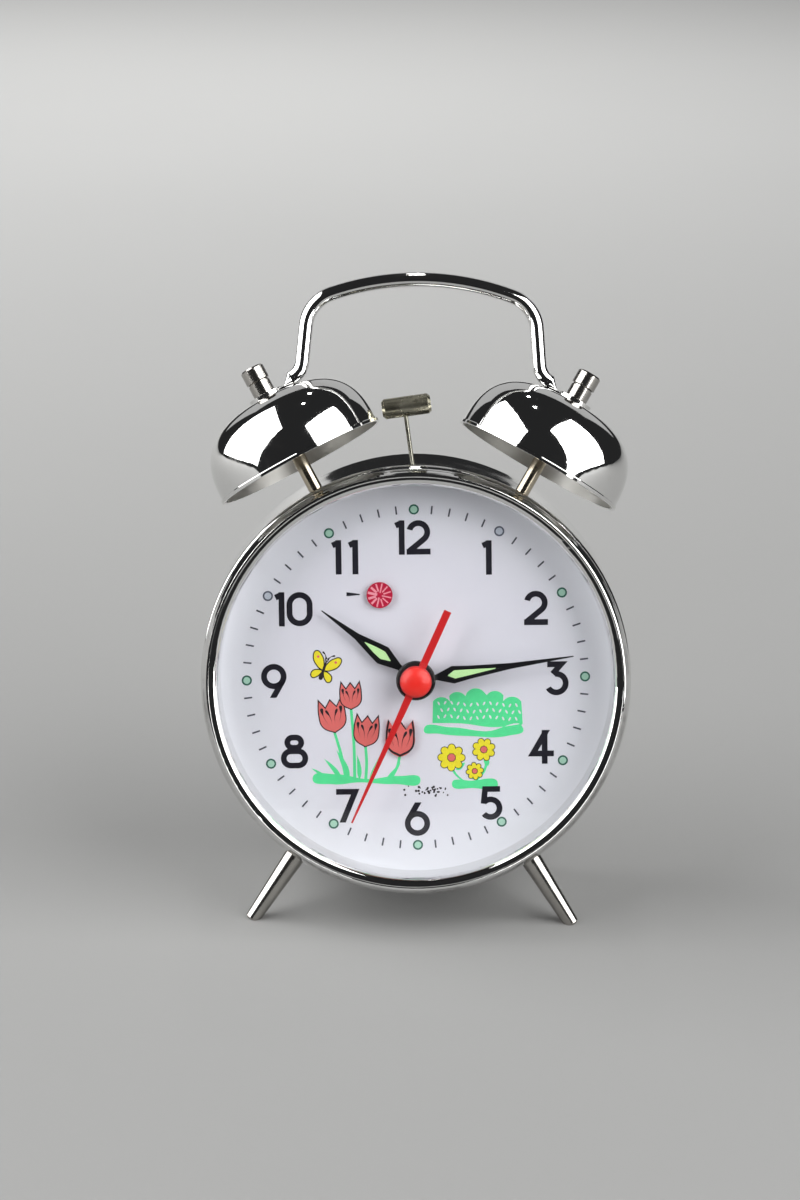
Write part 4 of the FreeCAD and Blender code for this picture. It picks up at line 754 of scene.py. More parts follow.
def draw_two(pen, x):
    pen.down(x - 2.19, 1.93, 75).bend(2.27, -216).ahead(5.1)
    pen.down(x - 3.0, -BAR, 0).ahead(6.05)


def draw_three(pen, x):
    pen.down(x - 2.3, BAR, 0).ahead(3.55).corner(-132).ahead(3.3)
    pen.down(x - 0.41, 1.089, 10).bend(2.37, -250)


def draw_four(pen, x):
    pen.down(x + 1.1, -HALF, 90).ahead(2 * HALF)
    pen.down(x + 3.45, -1.7, 180).ahead(5.35).corner(-120.5).ahead(6.6).level(HALF)


def draw_five(pen, x):
    pen.down(x - 1.55, BAR, 0).ahead(4.0)
    pen.down(x - 1.30, 4.3, 263.5).ahead(4.5)
    pen.down(x - 1.739, 0.114, 50).bend(2.27, -280)


def draw_six(pen, x):
    pen.down(x + 0.055, 3.98, 240).level(HALF).ahead(4.44).bend(2.5, 360)


def draw_seven(pen, x):
    pen.down(x - 2.95, BAR, 0).ahead(4.9).corner(-112.8).ahead(8.2).level(-HALF)


def draw_eight(pen, x):
    pen.down(x - 0.9, -BAR, 0).ahead(1.8).bend(1.85, 180).ahead(1.8).bend(1.85, 180)
    pen.down(x - 0.45, 0.985, 0).ahead(0.9).bend(1.315, 180).ahead(0.9).bend(1.315, 180)


def draw_nine(pen, x):
    pen.down(x - 0.055, -3.98, 60).level(-HALF).ahead(4.44).bend(2.5, 360)


def draw_nought(pen, x):
    pen.down(x + 2.56, -1.05, 90).ahead(2.1).bend(2.56, 180).ahead(2.1).bend(2.56, 180)


# Each hour: the strokes of its numeral, and the numeral's middle on the dial in millimetres
HOURS = [
    ([(draw_one, -3.05), (draw_two, 1.15)], (-1.1, 35.9)),
    ([(draw_one, 0.45)], (17.5, 31.1)),
    ([(draw_two, 0.0)], (30.1, 18.5)),
    ([(draw_three, 0.1)], (35.6, 0.6)),
    ([(draw_four, 0.0)], (32.0, -17.1)),
    ([(draw_five, 0.0)], (19.6, -31.8)),
    ([(draw_six, 0.0)], (0.95, -36.3)),
    ([(draw_seven, 0.0)], (-16.9, -33.1)),
    ([(draw_eight, 0.0)], (-30.7, -19.3)),
    ([(draw_nine, 0.0)], (-36.1, -1.2)),
    ([(draw_one, -3.3), (draw_nought, 1.25)], (-31.0, 17.2)),
    ([(draw_one, -1.75), (draw_one, 2.5)], (-18.3, 30.6)),
]
BARE_HOURS = (1, 10)
GREEN_HOURS = (2, 3, 4, 5, 6, 7, 8, 9, 11, 12)
DOT_SIDES = 28


def ring_place(settings, minute):
    """Frame of a minute on the printed ring: its z points outwards."""
    turn = Matrix.Rotation(settings.turn + minute * pi / 30, 4, "Y")
    return turn @ Matrix.Translation((0, DIAL_FRONT, settings.ring_radius))


def flat_disc(mesh, place, radius, sides):
    """A flat disc in the dial plane of a frame."""
    upright = place @ Matrix.Rotation(pi / 2, 4, "X")
    made = bmesh.ops.create_circle(mesh, cap_ends=True, radius=radius, segments=sides, matrix=upright)
    return list({face for vert in made["verts"] for face in vert.link_faces})


def printed(name, outlines, thickness, material, body="case", front=DIAL_FRONT, spread=0.0):
    """A patch of ink from closed outlines in millimetres; a third value marks a corner."""
    curve = bpy.data.curves.new(name, "CURVE")
    curve.dimensions = "2D"
    curve.fill_mode = "BOTH"
    curve.resolution_u = 8
    curve.extrude = thickness / 2
    curve.offset = spread
    for points in outlines:
        spline = curve.splines.new("BEZIER")
        spline.bezier_points.add(len(points) - 1)
        spline.use_cyclic_u = True
        for knot, (x, z, *corner) in zip(spline.bezier_points, points):
            knot.co = (x * MM, z * MM, 0)
            knot.handle_left_type = knot.handle_right_type = "VECTOR" if corner else "AUTO"
    drawing = new_object(name, curve)
    data = bpy.data.meshes.new_from_object(drawing.evaluated_get(bpy.context.evaluated_depsgraph_get()))
    data.name = name
    bpy.data.objects.remove(drawing)
    middle = on_dial(0, 0, front - thickness / 2)
    data.transform(DIAL_FRAME @ middle @ Matrix.Rotation(pi / 2, 4, "X"))
    piece_of(data, name, [material], body)


def moved(points, x, z, degrees=0.0, scale=1.0):
    """Outline points turned to the left, scaled and moved on the dial."""
    across = scale * cos(radians(degrees))
    up = scale * sin(radians(degrees))
    return [(x + px * across - pz * up, z + px * up + pz * across, *corner) for px, pz, *corner in points]


def flipped(points):
    """The same outline on the other side of its middle."""
    return [(-x, *rest) for x, *rest in points]


def round_points(radius, count):
    """Points round a small circle."""
    return [(radius * cos(2 * pi * k / count), radius * sin(2 * pi * k / count)) for k in range(count)]


# The picture's outlines, in millimetres, with "c" at their corners

TULIP = [
    (0.0, -1.4, "c"), (3.1, 0.6), (3.7, 4.0), (3.18, 8.2, "c"), (1.55, 5.8, "c"),
    (0.0, 7.9, "c"), (-1.55, 5.8, "c"), (-3.18, 8.2, "c"), (-3.7, 4.0), (-3.1, 0.6),
]
TULIP_FOLDS = [
    [(-1.5, 5.2), (-0.6, 3.2), (-0.4, 0.9, "c"), (-0.75, 3.1), (-1.75, 5.0)],
    [(1.5, 5.2), (0.6, 3.2), (0.4, 0.9, "c"), (0.75, 3.1), (1.75, 5.0)],
    [(-2.7, 5.9), (-2.35, 3.4), (-1.5, 1.2, "c"), (-2.5, 3.5)],
    [(2.7, 5.9), (2.35, 3.4), (1.5, 1.2, "c"), (2.5, 3.5)],
]
BLADE = [(0.0, 0.0, "c"), (1.0, 2.6), (0.9, 6.0), (0.0, 9.5, "c"), (-0.35, 5.6), (-0.5, 2.4)]
SMALL_LEAF = [(0.0, 0.0, "c"), (0.65, 0.9), (0.5, 2.0), (0.0, 3.0, "c"), (-0.5, 2.0), (-0.65, 0.9)]
PETAL = [(0.0, 0.5, "c"), (0.75, 1.5), (0.7, 2.7), (0.0, 3.1), (-0.7, 2.7), (-0.75, 1.5)]
WING = [(0.0, 0.0, "c"), (1.5, 0.5), (3.2, 2.5), (2.9, 3.9), (1.4, 3.3), (0.3, 1.6)]
LOW_WING = [(0.0, 0.0, "c"), (1.3, -0.1), (2.4, -1.0), (2.0, -2.2), (0.9, -1.7)]
WINGS = [flipped(WING), flipped(LOW_WING), WING, LOW_WING]
BUTTERFLY_BODY = [(0, -2.2), (0.3, 0), (0.16, 2.0), (0, 2.5), (-0.16, 2.0), (-0.3, 0)]
FEELER = [(0, 2.2), (0.7, 3.5), (1.5, 4.1), (0.6, 3.6)]
WING_SPOTS = ((-2.1, 2.7), (2.1, 2.7))
SPOT_RADIUS = 0.3
HEDGE_START = (4.4, -11.4, "c")
HEDGE_FOOT = [(27.4, -11.2, "c"), (20.0, -12.2), (12.0, -11.4)]
BANK = [(2.2, -13.2), (9.0, -12.4), (18.0, -13.3), (27.6, -12.5), (24.0, -14.3), (14.0, -14.6), (6.0, -14.1)]
GROUND = [
    (-26.0, -26.2), (-20.0, -25.0), (-12.0, -26.1), (-4.0, -25.2), (1.6, -26.2), (-5.0, -27.3),
    (-14.0, -27.0), (-21.0, -27.6),
]
TUFT = [(9.6, -27.0), (14.5, -26.1), (21.4, -26.9), (15.0, -28.0)]
NODDING_STEM = [
    (-4.1, -19.8, "c"), (-4.9, -23.2), (-6.6, -26.3, "c"),
    (-5.8, -26.3, "c"), (-4.2, -23.2), (-3.4, -19.8, "c"),
]
# Hedge lobes: middle and radius, and the turns at which their arcs are drawn
HEDGE_LOBES = [(6.6, -7.4, 2.7), (10.6, -5.9, 2.6), (15.3, -5.2, 2.9), (20.2, -5.6, 2.7), (24.6, -7.2, 2.9)]
LOBE_TURNS = (2.5, 2.05, 1.57, 1.09, 0.64)
# Places of the flowers, leaves and butterfly: across, up, turn in degrees and scale
TULIPS = [(-20.6, -13.0, 10, 0.92), (-12.6, -16.6, -4, 0.86), (-16.4, -7.2, 3, 0.74)]
# Where the stems reach the ground: each tulip's foot, the first daisy's, and how far down
TULIP_FEET = (-17.4, -12.4, -15.2)
DAISY_FOOT = 13.6
TULIP_GROUND = -26.4
DAISY_GROUND = -27.2
BLADES = [
    (-16.5, -26.5, 24, 0.9), (-18.5, -26.5, 40, 0.75), (-11.5, -26.6, -22, 0.8),
    (-7.4, -26.6, -38, 0.66), (-14.0, -26.5, 6, 0.7), (-22.4, -26.2, 56, 0.5),
]
DAISIES = [(9.4, -20.2, 0, 1.12), (17.6, -18.0, 20, 0.95), (15.4, -23.6, 9, 0.72)]
PETALS = 8
HEART_RADIUS = 0.85
BUTTERFLY = (-23.6, 1.6, -18, 1.12)
# Specks of seed: how many, their middle, how far they scatter across and up, how much higher
# they lie away from the middle, their radii and their sides
SEEDS = 46
SEED_MIDDLE = (4.2, -28.9)
SEED_SCATTER = (3.4, 0.7)
SEED_RISE = 0.09
SEED_RADII = (0.16 * MM, 0.34 * MM)
SEED_SIDES = 7
# Small leaves in the hedge: rows and columns, the first one's place, steps across and down,
# every second row's shift, the rows' wave, and a leaf's lean, half length and sides
LEAF_ROWS = 3
LEAF_COLUMNS = 13
FIRST_LEAF = (5.9, -6.3)
LEAF_STEPS = (1.65, 1.75)
LEAF_SHIFT = 0.8
LEAF_WAVE = 0.25
LEAF_LEAN = 0.5
LEAF_RADIUS = 0.55 * MM
LEAF_SIDES = 10
LEAF_NARROWING = Matrix.Diagonal((0.42, 1, 1, 1))


class Press:
    """Prints the picture: each patch lies a number of ink layers thick."""

    def __init__(self, scene):
        settings = scene.clock_picture
        self.layer = scene.clock_dial.ink
        self.edge = settings.line_width / 2
        inks = ("mint", "coral", "yellow", "line")
        self.inks = {ink: screen_ink(f"{ink}_ink", getattr(settings, ink)) for ink in inks}
        self.inks["white"] = screen_ink("white_ink", scene.clock_dial.sheet)

    def lay(self, name, outlines, layers, ink, spread=0.0):
        """One patch, spread past its outline by a share of half a line's width."""
        printed(name, outlines, self.layer * layers, self.inks[ink], spread=spread * self.edge)

    def hedge(self):
        outline = [HEDGE_START]
        for x, z, lobe in HEDGE_LOBES:
            arc = [(x + lobe * cos(turn), z + lobe * sin(turn)) for turn in LOBE_TURNS]
            outline += [(*arc[0], "c"), *arc[1:-1], (*arc[-1], "c")]
        self.lay("hedge", [outline + HEDGE_FOOT, BANK], 1.0, "mint")
        self.lay("ground", [GROUND, TUFT], 1.1, "mint")

    def tulips(self):
        leaves = [moved(BLADE, *blade) for blade in BLADES]
        for (x, z, _, scale), foot in zip(TULIPS, TULIP_FEET):
            middle = (x + foot) / 2
            leaves.append([
                (x - 0.35, z - scale, "c"),
                (middle - 0.1, z / 2 - 13.6),
                (foot - 0.4, TULIP_GROUND, "c"),
                (foot + 0.4, TULIP_GROUND, "c"),
                (middle + 0.6, z / 2 - 13.4),
                (x + 0.35, z - scale, "c"),
            ])
        for number, outline in enumerate([*leaves, NODDING_STEM]):
            self.lay(f"tulip_leaf_{number}", [outline], 1.3 + 0.05 * number, "mint")
        for number, place in enumerate(TULIPS):
            head = [moved(TULIP, *place)]
            folds = [moved(fold, *place) for fold in TULIP_FOLDS]
            self.lay(f"tulip_edge_{number}", head, 2.2 + 0.2 * number, "line", 1.0)
            self.lay(f"tulip_head_{number}", head, 2.4 + 0.2 * number, "coral", -1.0)
            self.lay(f"tulip_lines_{number}", folds, 2.6 + 0.2 * number, "line")

    def daisies(self):
        for number, (x, z, turn, scale) in enumerate(DAISIES):
            foot = DAISY_FOOT + number
            middle = (z - 27) / 2
            stem = [
                (x - 0.3, z, "c"),
                (x + 0.2, middle),
                (foot, DAISY_GROUND, "c"),
                (foot + 0.6, DAISY_GROUND, "c"),
                (x + 0.9, middle),
                (x + 0.3, z, "c"),
            ]
            leaf = moved(SMALL_LEAF, x + 1.2, middle + 0.25, -50 + 70 * number)
            self.lay(f"daisy_stem_{number}", [stem], 1.2 + 0.1 * number, "mint")
            self.lay(f"daisy_leaf_{number}", [leaf], 1.5 + 0.1 * number, "mint")
            for step in range(PETALS):
                petal = [moved(moved(PETAL, 0, 0, 360 / PETALS * step), x, z, turn, scale)]
                layers = 2.0 + 0.02 * step + 0.3 * number
                self.lay(f"daisy_edge_{number}_{step}", petal, layers, "line", 0.8)
                self.lay(f"daisy_petal_{number}_{step}", petal, layers + 0.2, "yellow", -0.5)
            heart = [moved(round_points(HEART_RADIUS, 8), x, z, 0, scale)]
            self.lay(f"daisy_ring_{number}", heart, 3.2 + 0.3 * number, "line", 1.0)
            self.lay(f"daisy_heart_{number}", heart, 3.4 + 0.3 * number, "coral")

    def butterfly(self):
        for number, wing in enumerate(WINGS):
            outline = [moved(wing, *BUTTERFLY)]
            self.lay(f"butterfly_edge_{number}", outline, 1.6 + 0.05 * number, "line", 1.0)
            self.lay(f"butterfly_wing_{number}", outline, 1.9 + 0.05 * number, "yellow", -1.0)
        spots = [moved(round_points(SPOT_RADIUS, 6), *place) for place in WING_SPOTS]
        for name, outlines, layers, ink in (
            ("butterfly_body", [BUTTERFLY_BODY], 2.4, "line"),
            ("butterfly_feelers", [flipped(FEELER), FEELER], 1.4, "line"),
            ("butterfly_spots", spots, 2.3, "coral"),
        ):
            self.lay(name, [moved(outline, *BUTTERFLY) for outline in outlines], layers, ink)

    def seeds(self):
        """Specks of seed, thinning out round one spot."""
        chance = random.Random(7)
        middle, level = SEED_MIDDLE
        flecks = bmesh.new()
        for _ in range(SEEDS):
            x = chance.gauss(middle, SEED_SCATTER[0])
            z = level + SEED_RISE * abs(x - middle) + chance.gauss(0, SEED_SCATTER[1])
            fleck = flat_disc(flecks, on_dial(x, z), chance.uniform(*SEED_RADII), SEED_SIDES)
            thicken(flecks, fleck, self.layer)
        piece_from(flecks, "seed_flecks", [self.inks["line"]])

    def hedge_leaves(self):
        """Rows of small pale leaves over the hedge."""
        leaves = bmesh.new()
        for row in range(LEAF_ROWS):
            for column in range(LEAF_COLUMNS):
                x = FIRST_LEAF[0] + LEAF_STEPS[0] * column + LEAF_SHIFT * (row % 2)
                z = FIRST_LEAF[1] - LEAF_STEPS[1] * row + LEAF_WAVE * sin(column)
                lean = Matrix.Rotation(LEAF_LEAN if column % 2 else -LEAF_LEAN, 4, "Y")
                place = on_dial(x, z) @ lean @ LEAF_NARROWING
                leaf = flat_disc(leaves, place, LEAF_RADIUS, LEAF_SIDES)
                thicken(leaves, leaf, self.layer * 1.3)
        piece_from(leaves, "hedge_veins", [self.inks["white"]])


# Operators


class Step:
    """What the clock's operators share."""

    bl_options = {"REGISTER", "UNDO"}


class CLOCK_OT_bright_case(Step, bpy.types.Operator):
    """Chrome the drum, bezel, spacer ring and handle"""

    bl_idname = "clock.bright_case"
    bl_label = "Bright case"

    def execute(self, context):
        metal = context.scene.clock_metal
        coat_nodes(bright_chrome("drum_chrome", metal, flare=DRUM_FLARE), "case_drum")
        coat_nodes(bright_chrome("spacer_chrome", metal), "spacer_ring")
        coat_nodes(bright_chrome("bezel_chrome", metal, crest=True), "bezel")
        coat_nodes(bright_chrome("handle_chrome", metal), "handle")
        return {"FINISHED"}


class CLOCK_OT_bells(Step, bpy.types.Operator):
    """Chrome the bells, with their insides left unpolished"""

    bl_idname = "clock.bells"
    bl_label = "Bells"

    def execute(self, context):
        metal = context.scene.clock_metal
        coat_nodes(bright_chrome("bell_chrome", metal, inside=True), "bell_left", "bell_right")
        return {"FINISHED"}


class CLOCK_OT_turned_fittings(Step, bpy.types.Operator):
    """Plate the turned legs, bell posts and nuts"""

    bl_idname = "clock.turned_fittings"
    bl_label = "Legs, posts and nuts"

    def execute(self, context):
        metal = context.scene.clock_metal
        legs = turned_metal("leg_nickel", metal.nickel, RIGHT_LEG_FRAME)
        coat_nodes(legs, "leg_left", "leg_right", "leg_nuts")
        posts = turned_metal("post_plating", metal.post, RIGHT_BELL_FRAME)
        coat_nodes(posts, "bell_post_left", "bell_post_right", "post_nuts")
        coat_nodes(turned_metal("bell_nut_nickel", metal.nickel, RIGHT_BELL_FRAME, ring=1700.0), "bell_nuts")
        return {"FINISHED"}


class CLOCK_OT_hammer(Step, bpy.types.Operator):
    """Give the hammer its dull, marked steel"""

    bl_idname = "clock.hammer"
    bl_label = "Hammer"

    def execute(self, context):
        metal = context.scene.clock_metal
        head = brushed_metal("hammer_steel", metal.hammer, 0.14, (260.0, 420.0, 420.0), worn=1.0, stain=0.38)
        coat_nodes(head, "hammer_head")
        coat_nodes(brushed_metal("hammer_wire", metal.wire, 0.2, (1800.0, 1800.0, 120.0)), "hammer_arm")
        return {"FINISHED"}


class CLOCK_OT_crystal(Step, bpy.types.Operator):
    """Make the domed crystal clear"""

    bl_idname = "clock.crystal"
    bl_label = "Crystal"

    def execute(self, context):
        coat_nodes(clear_pane("crystal_pane"), "crystal")
        return {"FINISHED"}


class CLOCK_OT_dial(Step, bpy.types.Operator):
    """Lacquer the dial and print its dots and minute marks"""

    bl_idname = "clock.dial"
    bl_label = "Dial and minute ring"

    def execute(self, context):
        settings = context.scene.clock_dial
        coat_nodes(dial_paint("dial_lacquer", settings.sheet), "dial")
        marks = bmesh.new()
        box = Matrix.Diagonal((settings.mark_width, settings.ink * 2, settings.mark_length, 1))
        for minute in range(60):
            if minute % 5:
                bmesh.ops.create_cube(marks, size=1.0, matrix=ring_place(settings, minute) @ box)
        piece_from(marks, "minute_marks", [screen_ink("mark_ink", settings.mark)])
        green = [screen_ink("dot_line_ink", settings.dot_line), luminous_paint("dot_fill", settings.dot_fill)]
        bare = [screen_ink(f"{name}_ink", getattr(settings, name)) for name in ("bare_line", "bare_fill")]
        for name, inks, hours in (("hour_dots", green, GREEN_HOURS), ("bare_dots", bare, BARE_HOURS)):
            dots = bmesh.new()
            for hour in hours:
                rim = flat_disc(dots, ring_place(settings, hour * 5), settings.dot_diameter / 2, DOT_SIDES)
                fill = thicken(dots, rim, settings.ink * 1.5)
                line = settings.dot_ring
                bmesh.ops.inset_region(dots, faces=fill, thickness=line)
                for face in fill:
                    face.material_index = 1
                bmesh.ops.inset_region(dots, faces=fill, thickness=line * 0.3, depth=settings.ink)
            piece_from(dots, name, inks)
        return {"FINISHED"}


class CLOCK_OT_numerals(Step, bpy.types.Operator):
    """Print the hour numerals, stroke by stroke"""

    bl_idname = "clock.numerals"
    bl_label = "Numerals"

    def execute(self, context):
        settings = context.scene.clock_dial
        size = settings.numeral_height / (2 * HALF)
        mesh = bmesh.new()
        for strokes, (x, z) in HOURS:
            drawn = bmesh.new()
            pen = Pen(drawn, settings.numeral_stroke / size)
            for draw, offset in strokes:
                draw(pen, offset)
            # Each stroke lies a little higher than the one before, so that no two faces lie in one plane
            for number, faces in enumerate(pen.strokes):
                layers = NUMERAL_LAYERS * (1 + STROKE_RISE * number)
                thicken(drawn, faces, settings.ink * layers / size)
            turned = on_dial(x, z) @ Matrix.Rotation(settings.turn, 4, "Y")
            add_drawn(mesh, drawn, turned @ Matrix.Scale(size, 4))
        piece_from(mesh, "numerals", [screen_ink("numeral_ink", settings.numeral, 0.42)])
        return {"FINISHED"}


class CLOCK_OT_picture(Step, bpy.types.Operator):
    """Print the flower picture: tulips, hedge, daisies, butterfly and specks"""

    bl_idname = "clock.picture"
    bl_label = "Flower picture"

    def execute(self, context):
        press = Press(context.scene)
        press.hedge()
        press.tulips()
        press.daisies()
        press.butterfly()
        press.seeds()
        press.hedge_leaves()
        return {"FINISHED"}


# The outline that leaves the nodding tulip's middle open: how far up it is, and its scale
INNER_RIM_RISE = 0.42
INNER_RIM_SCALE = 0.88


class CLOCK_OT_nodding_tulip(Step, bpy.types.Operator):
    """Ink the tulip that nods on the pallet arbor"""

    bl_idname = "clock.nodding_tulip"
    bl_label = "Nodding tulip"

    def execute(self, context):
        coat_nodes(enamel("tulip_paint", context.scene.clock_picture.coral, 0.4), "tulip")
        layer = context.scene.clock_dial.ink
        line = bpy.data.materials["line_ink"]
        x, z = (value / MM for value in dial_spot("pallet_rock"))
        front = depths("tulip")[0]
        rim = [moved(TULIP, x, z), moved(TULIP, x, z + INNER_RIM_RISE, scale=INNER_RIM_SCALE)]
        folds = [moved(fold, x, z) for fold in TULIP_FOLDS]
        printed("nodding_tulip_edge", rim, layer * 1.6, line, "pallet_group", front)
        printed("nodding_tulip_lines", folds, layer * 1.9, line, "pallet_group", front)
        return {"FINISHED"}


# One side of each luminous fill, in millimetres: half its width, and how far it is from the hub's middle
HOUR_LUME = [(0.1, 8.0), (1.12, 10.4), (0.8, 12.8), (0.1, 16.0)]
MINUTE_LUME = [(0.1, 8.2), (1.06, 9.9), (0.76, 13.4), (0.1, 20.4)]
# The share of a pocket's depth that the fill takes up, and its rounded edge's width and height
LUME_LEVEL = 0.72
LUME_EDGE = 0.08 * MM
LUME_SWELL = 0.05 * MM


class CLOCK_OT_hands(Step, bpy.types.Operator):
    """Paint the hands and fill them with luminous paint"""

    bl_idname = "clock.hands"
    bl_label = "Hands"

    def execute(self, context):
        paints = context.scene.clock_hands
        coat_nodes(enamel("hand_black", paints.black, 0.22, 0.12), "hour_hand", "minute_hand")
        # The hub's brighter red is a painted highlight on its dome
        coat_nodes(enamel("hand_red", paints.red, 0.26, 0.08, hub=paints.lit_hub_red), "second_hand")
        lume = luminous_paint("hand_lume", paints.lume)
        hour_front = (TO_DIAL @ Vector(TURNS["hour_hand_turn"]["pos_m"])).y
        for name, half, front, turn, body in (
            ("hour_lume", HOUR_LUME, hour_front, HOUR_HAND_TURN, "hour_group"),
            ("minute_lume", MINUTE_LUME, MINUTE_HAND_DEPTH, MINUTE_HAND_TURN, "minute_group"),
        ):
            mesh = bmesh.new()
            floor = front + LUME_POCKET_DEPTH
            corners = [mesh.verts.new((x * MM, floor, z * MM)) for x, z in half + flipped(half)[::-1]]
            raised = thicken(mesh, [mesh.faces.new(corners)], LUME_POCKET_DEPTH * LUME_LEVEL)
            bmesh.ops.inset_region(mesh, faces=raised, thickness=LUME_EDGE, depth=LUME_SWELL)
            piece_from(mesh, name, [lume], body, DIAL_FRAME @ Matrix.Rotation(turn, 4, "Y"))
        return {"FINISHED"}


# The alarm disc's bars run from one radius to another, in millimetres; every third is a long one
BAR_SPAN = (1.0, 2.95)
LONG_BAR_SPAN = (0.6, 3.05)
BAR_START = 0.2
BAR_WIDTH = 0.34
BAR_WIDENING = 0.3
# The mark that points to the disc, from the disc's middle
POINTER = [(-8.4, 0.55, "c"), (-5.0, 0.14, "c"), (-5.0, -0.12, "c"), (-8.4, -0.5, "c")]


class CLOCK_OT_alarm_disc(Step, bpy.types.Operator):
    """Paint the alarm disc, its bars and the mark that points to it"""

    bl_idname = "clock.alarm_disc"
    bl_label = "Alarm disc"

    def execute(self, context):
        paints = context.scene.clock_hands
        layer = context.scene.clock_dial.ink
        coat_nodes(enamel("disc_crimson", paints.crimson, 0.3), "alarm_disc")
        x, z = (value / MM for value in dial_spot("alarm_set_turn"))
        front = depths("alarm_disc")[0]
        bars = bmesh.new()
        for hour in range(12):
            inner, outer = BAR_SPAN if hour % 3 else LONG_BAR_SPAN
            turn = hour * pi / 6 + BAR_START
            # The bars on one side of the disc are printed wider
            width = BAR_WIDTH + BAR_WIDENING * max(0, -sin(turn))
            place = on_dial(x, z, front) @ Matrix.Rotation(turn, 4, "Y") @ on_dial(0, (inner + outer) / 2, 0)
            box = Matrix.Diagonal((width * MM, layer * 2, (outer - inner) * MM, 1))
            bmesh.ops.create_cube(bars, size=1.0, matrix=place @ box)
        piece_from(bars, "alarm_disc_bars", [screen_ink("disc_ink", paints.disc_mark)], "alarm_set_group")
        printed("alarm_pointer", [moved(POINTER, x, z)], layer * 1.5, bpy.data.materials["numeral_ink"])
        return {"FINISHED"}


WHEELS = (
    "time_great_wheel", "alarm_great_wheel", "centre_wheel", "third_wheel", "fourth_wheel", "escape_wheel",
    "minute_wheel", "hour_wheel", "alarm_wheel", "alarm_escape_wheel", "cannon_pinion", "balance_wheel",
    "regulator_lever", "drive_pinion",
)
STEEL_PARTS = (
    "pillars", "pillar_nuts", "spacer_nuts", "cover_screws", "dial_feet", "time_click", "alarm_click",
    "time_spring_arbor", "alarm_spring_arbor", "pallet_lever", "balance_screws", "alarm_set_arbor",
)


class CLOCK_OT_movement(Step, bpy.types.Operator):
    """Finish the plates, wheels, arbors and springs of the movement"""

    bl_idname = "clock.movement"
    bl_label = "Movement"

    def execute(self, context):
        metal = context.scene.clock_metal
        coat_nodes(brushed_metal("plate_brass", metal.brass, 0.28), "front_plate", "back_plate")
        coat_nodes(brushed_metal("wheel_brass", metal.brass, 0.22, (500.0, 900.0, 700.0)), *WHEELS)
        coat_nodes(turned_metal("bright_steel", metal.steel, ARBOR_FRAME, 0.2, mirrored=False), *STEEL_PARTS)
        springs = blued_steel("blued_spring", metal.blued)
        coat_nodes(springs, "time_mainspring", "alarm_mainspring", "hairspring")
        return {"FINISHED"}


# Winding arrows on the cover: radius about a key or a knob and width of the line, in millimetres,
# and half the head's width over half the line's
ARROWS = {"time_key_wind": 8.6, "alarm_key_wind": 8.6, "minute_wheel_turn": 7.4, "alarm_set_turn": 7.4}
ARROW_LINE = 0.55
ARROW_HEAD = 3.4
# Degrees: where an arrow starts, and how far round it goes
ARROW_START = 35
ARROW_TURN = 96
# In millimetres: the head's length, the line's thickness and how far it stands off the cover.
# The tip's width is a share of the head's
ARROW_HEAD_LENGTH = 2.0
ARROW_RELIEF = 0.1
ARROW_FRONT = 0.09
ARROW_TIP = 0.12


def draw_arrow(pen, radius):
    """An arc about the middle with an arrow's head on its end."""
    start = radians(ARROW_START)
    pen.down(radius * cos(start), radius * sin(start), ARROW_START + 90).bend(radius, ARROW_TURN)
    pen.down(pen.spot.x, pen.spot.z, pen.heading * 180 / pi)
    for vert, side in zip(pen.ends, (1, -1)):
        vert.co = pen.spot + pen.across() * ARROW_HEAD * side
    pen.ahead(ARROW_HEAD_LENGTH)
    for vert in pen.ends:
        vert.co = pen.spot + (vert.co - pen.spot) * ARROW_TIP


class CLOCK_OT_back(Step, bpy.types.Operator):
    """Finish the back cover, keys, knobs and button, and stamp the winding arrows"""

    bl_idname = "clock.back"
    bl_label = "Back"

    def execute(self, context):
        metal = context.scene.clock_metal
        coat_nodes(spun_metal("cover_steel", metal.cover, 0.2), "back_cover")
        keys = turned_metal("key_nickel", metal.nickel, ARBOR_FRAME, 0.2, mirrored=False)
        coat_nodes(keys, "time_key", "alarm_key", "stop_button")
        coat_nodes(knurled_brass("time_knob_brass", metal.brass, "minute_wheel_turn"), "time_set_knob")
        coat_nodes(knurled_brass("alarm_knob_brass", metal.brass, "alarm_set_turn"), "alarm_set_knob")
        back = depths("back_cover")[1]
        arrows = bmesh.new()
        for joint, radius in ARROWS.items():
            drawn = bmesh.new()
            pen = Pen(drawn, ARROW_LINE)
            draw_arrow(pen, radius)
            for faces in pen.strokes:
                thicken(drawn, faces, ARROW_RELIEF)
            x, z = dial_spot(joint)
            place = Matrix.Translation((x, back + ARROW_FRONT * MM, z))
            add_drawn(arrows, drawn, place @ Matrix.Scale(MM, 4))
        ink = screen_ink("arrow_ink", context.scene.clock_dial.numeral)
        piece_from(arrows, "winding_arrows", [ink])
        return {"FINISHED"}


# Colour of the room's light. Then, in metres, the paper's half width and middle, and the lamps' goals
ROOM_LIGHT = (0.96, 0.97, 1.0, 1.0)
PAPER_HALF = 1.25
PAPER_MIDDLE = (0, 0.57, 0)
CLOCK_MIDDLE = DIAL_FRAME @ Vector((0, 0.02, 0.01))
FAR_PAPER = Vector((-0.2, 2.1, 0))
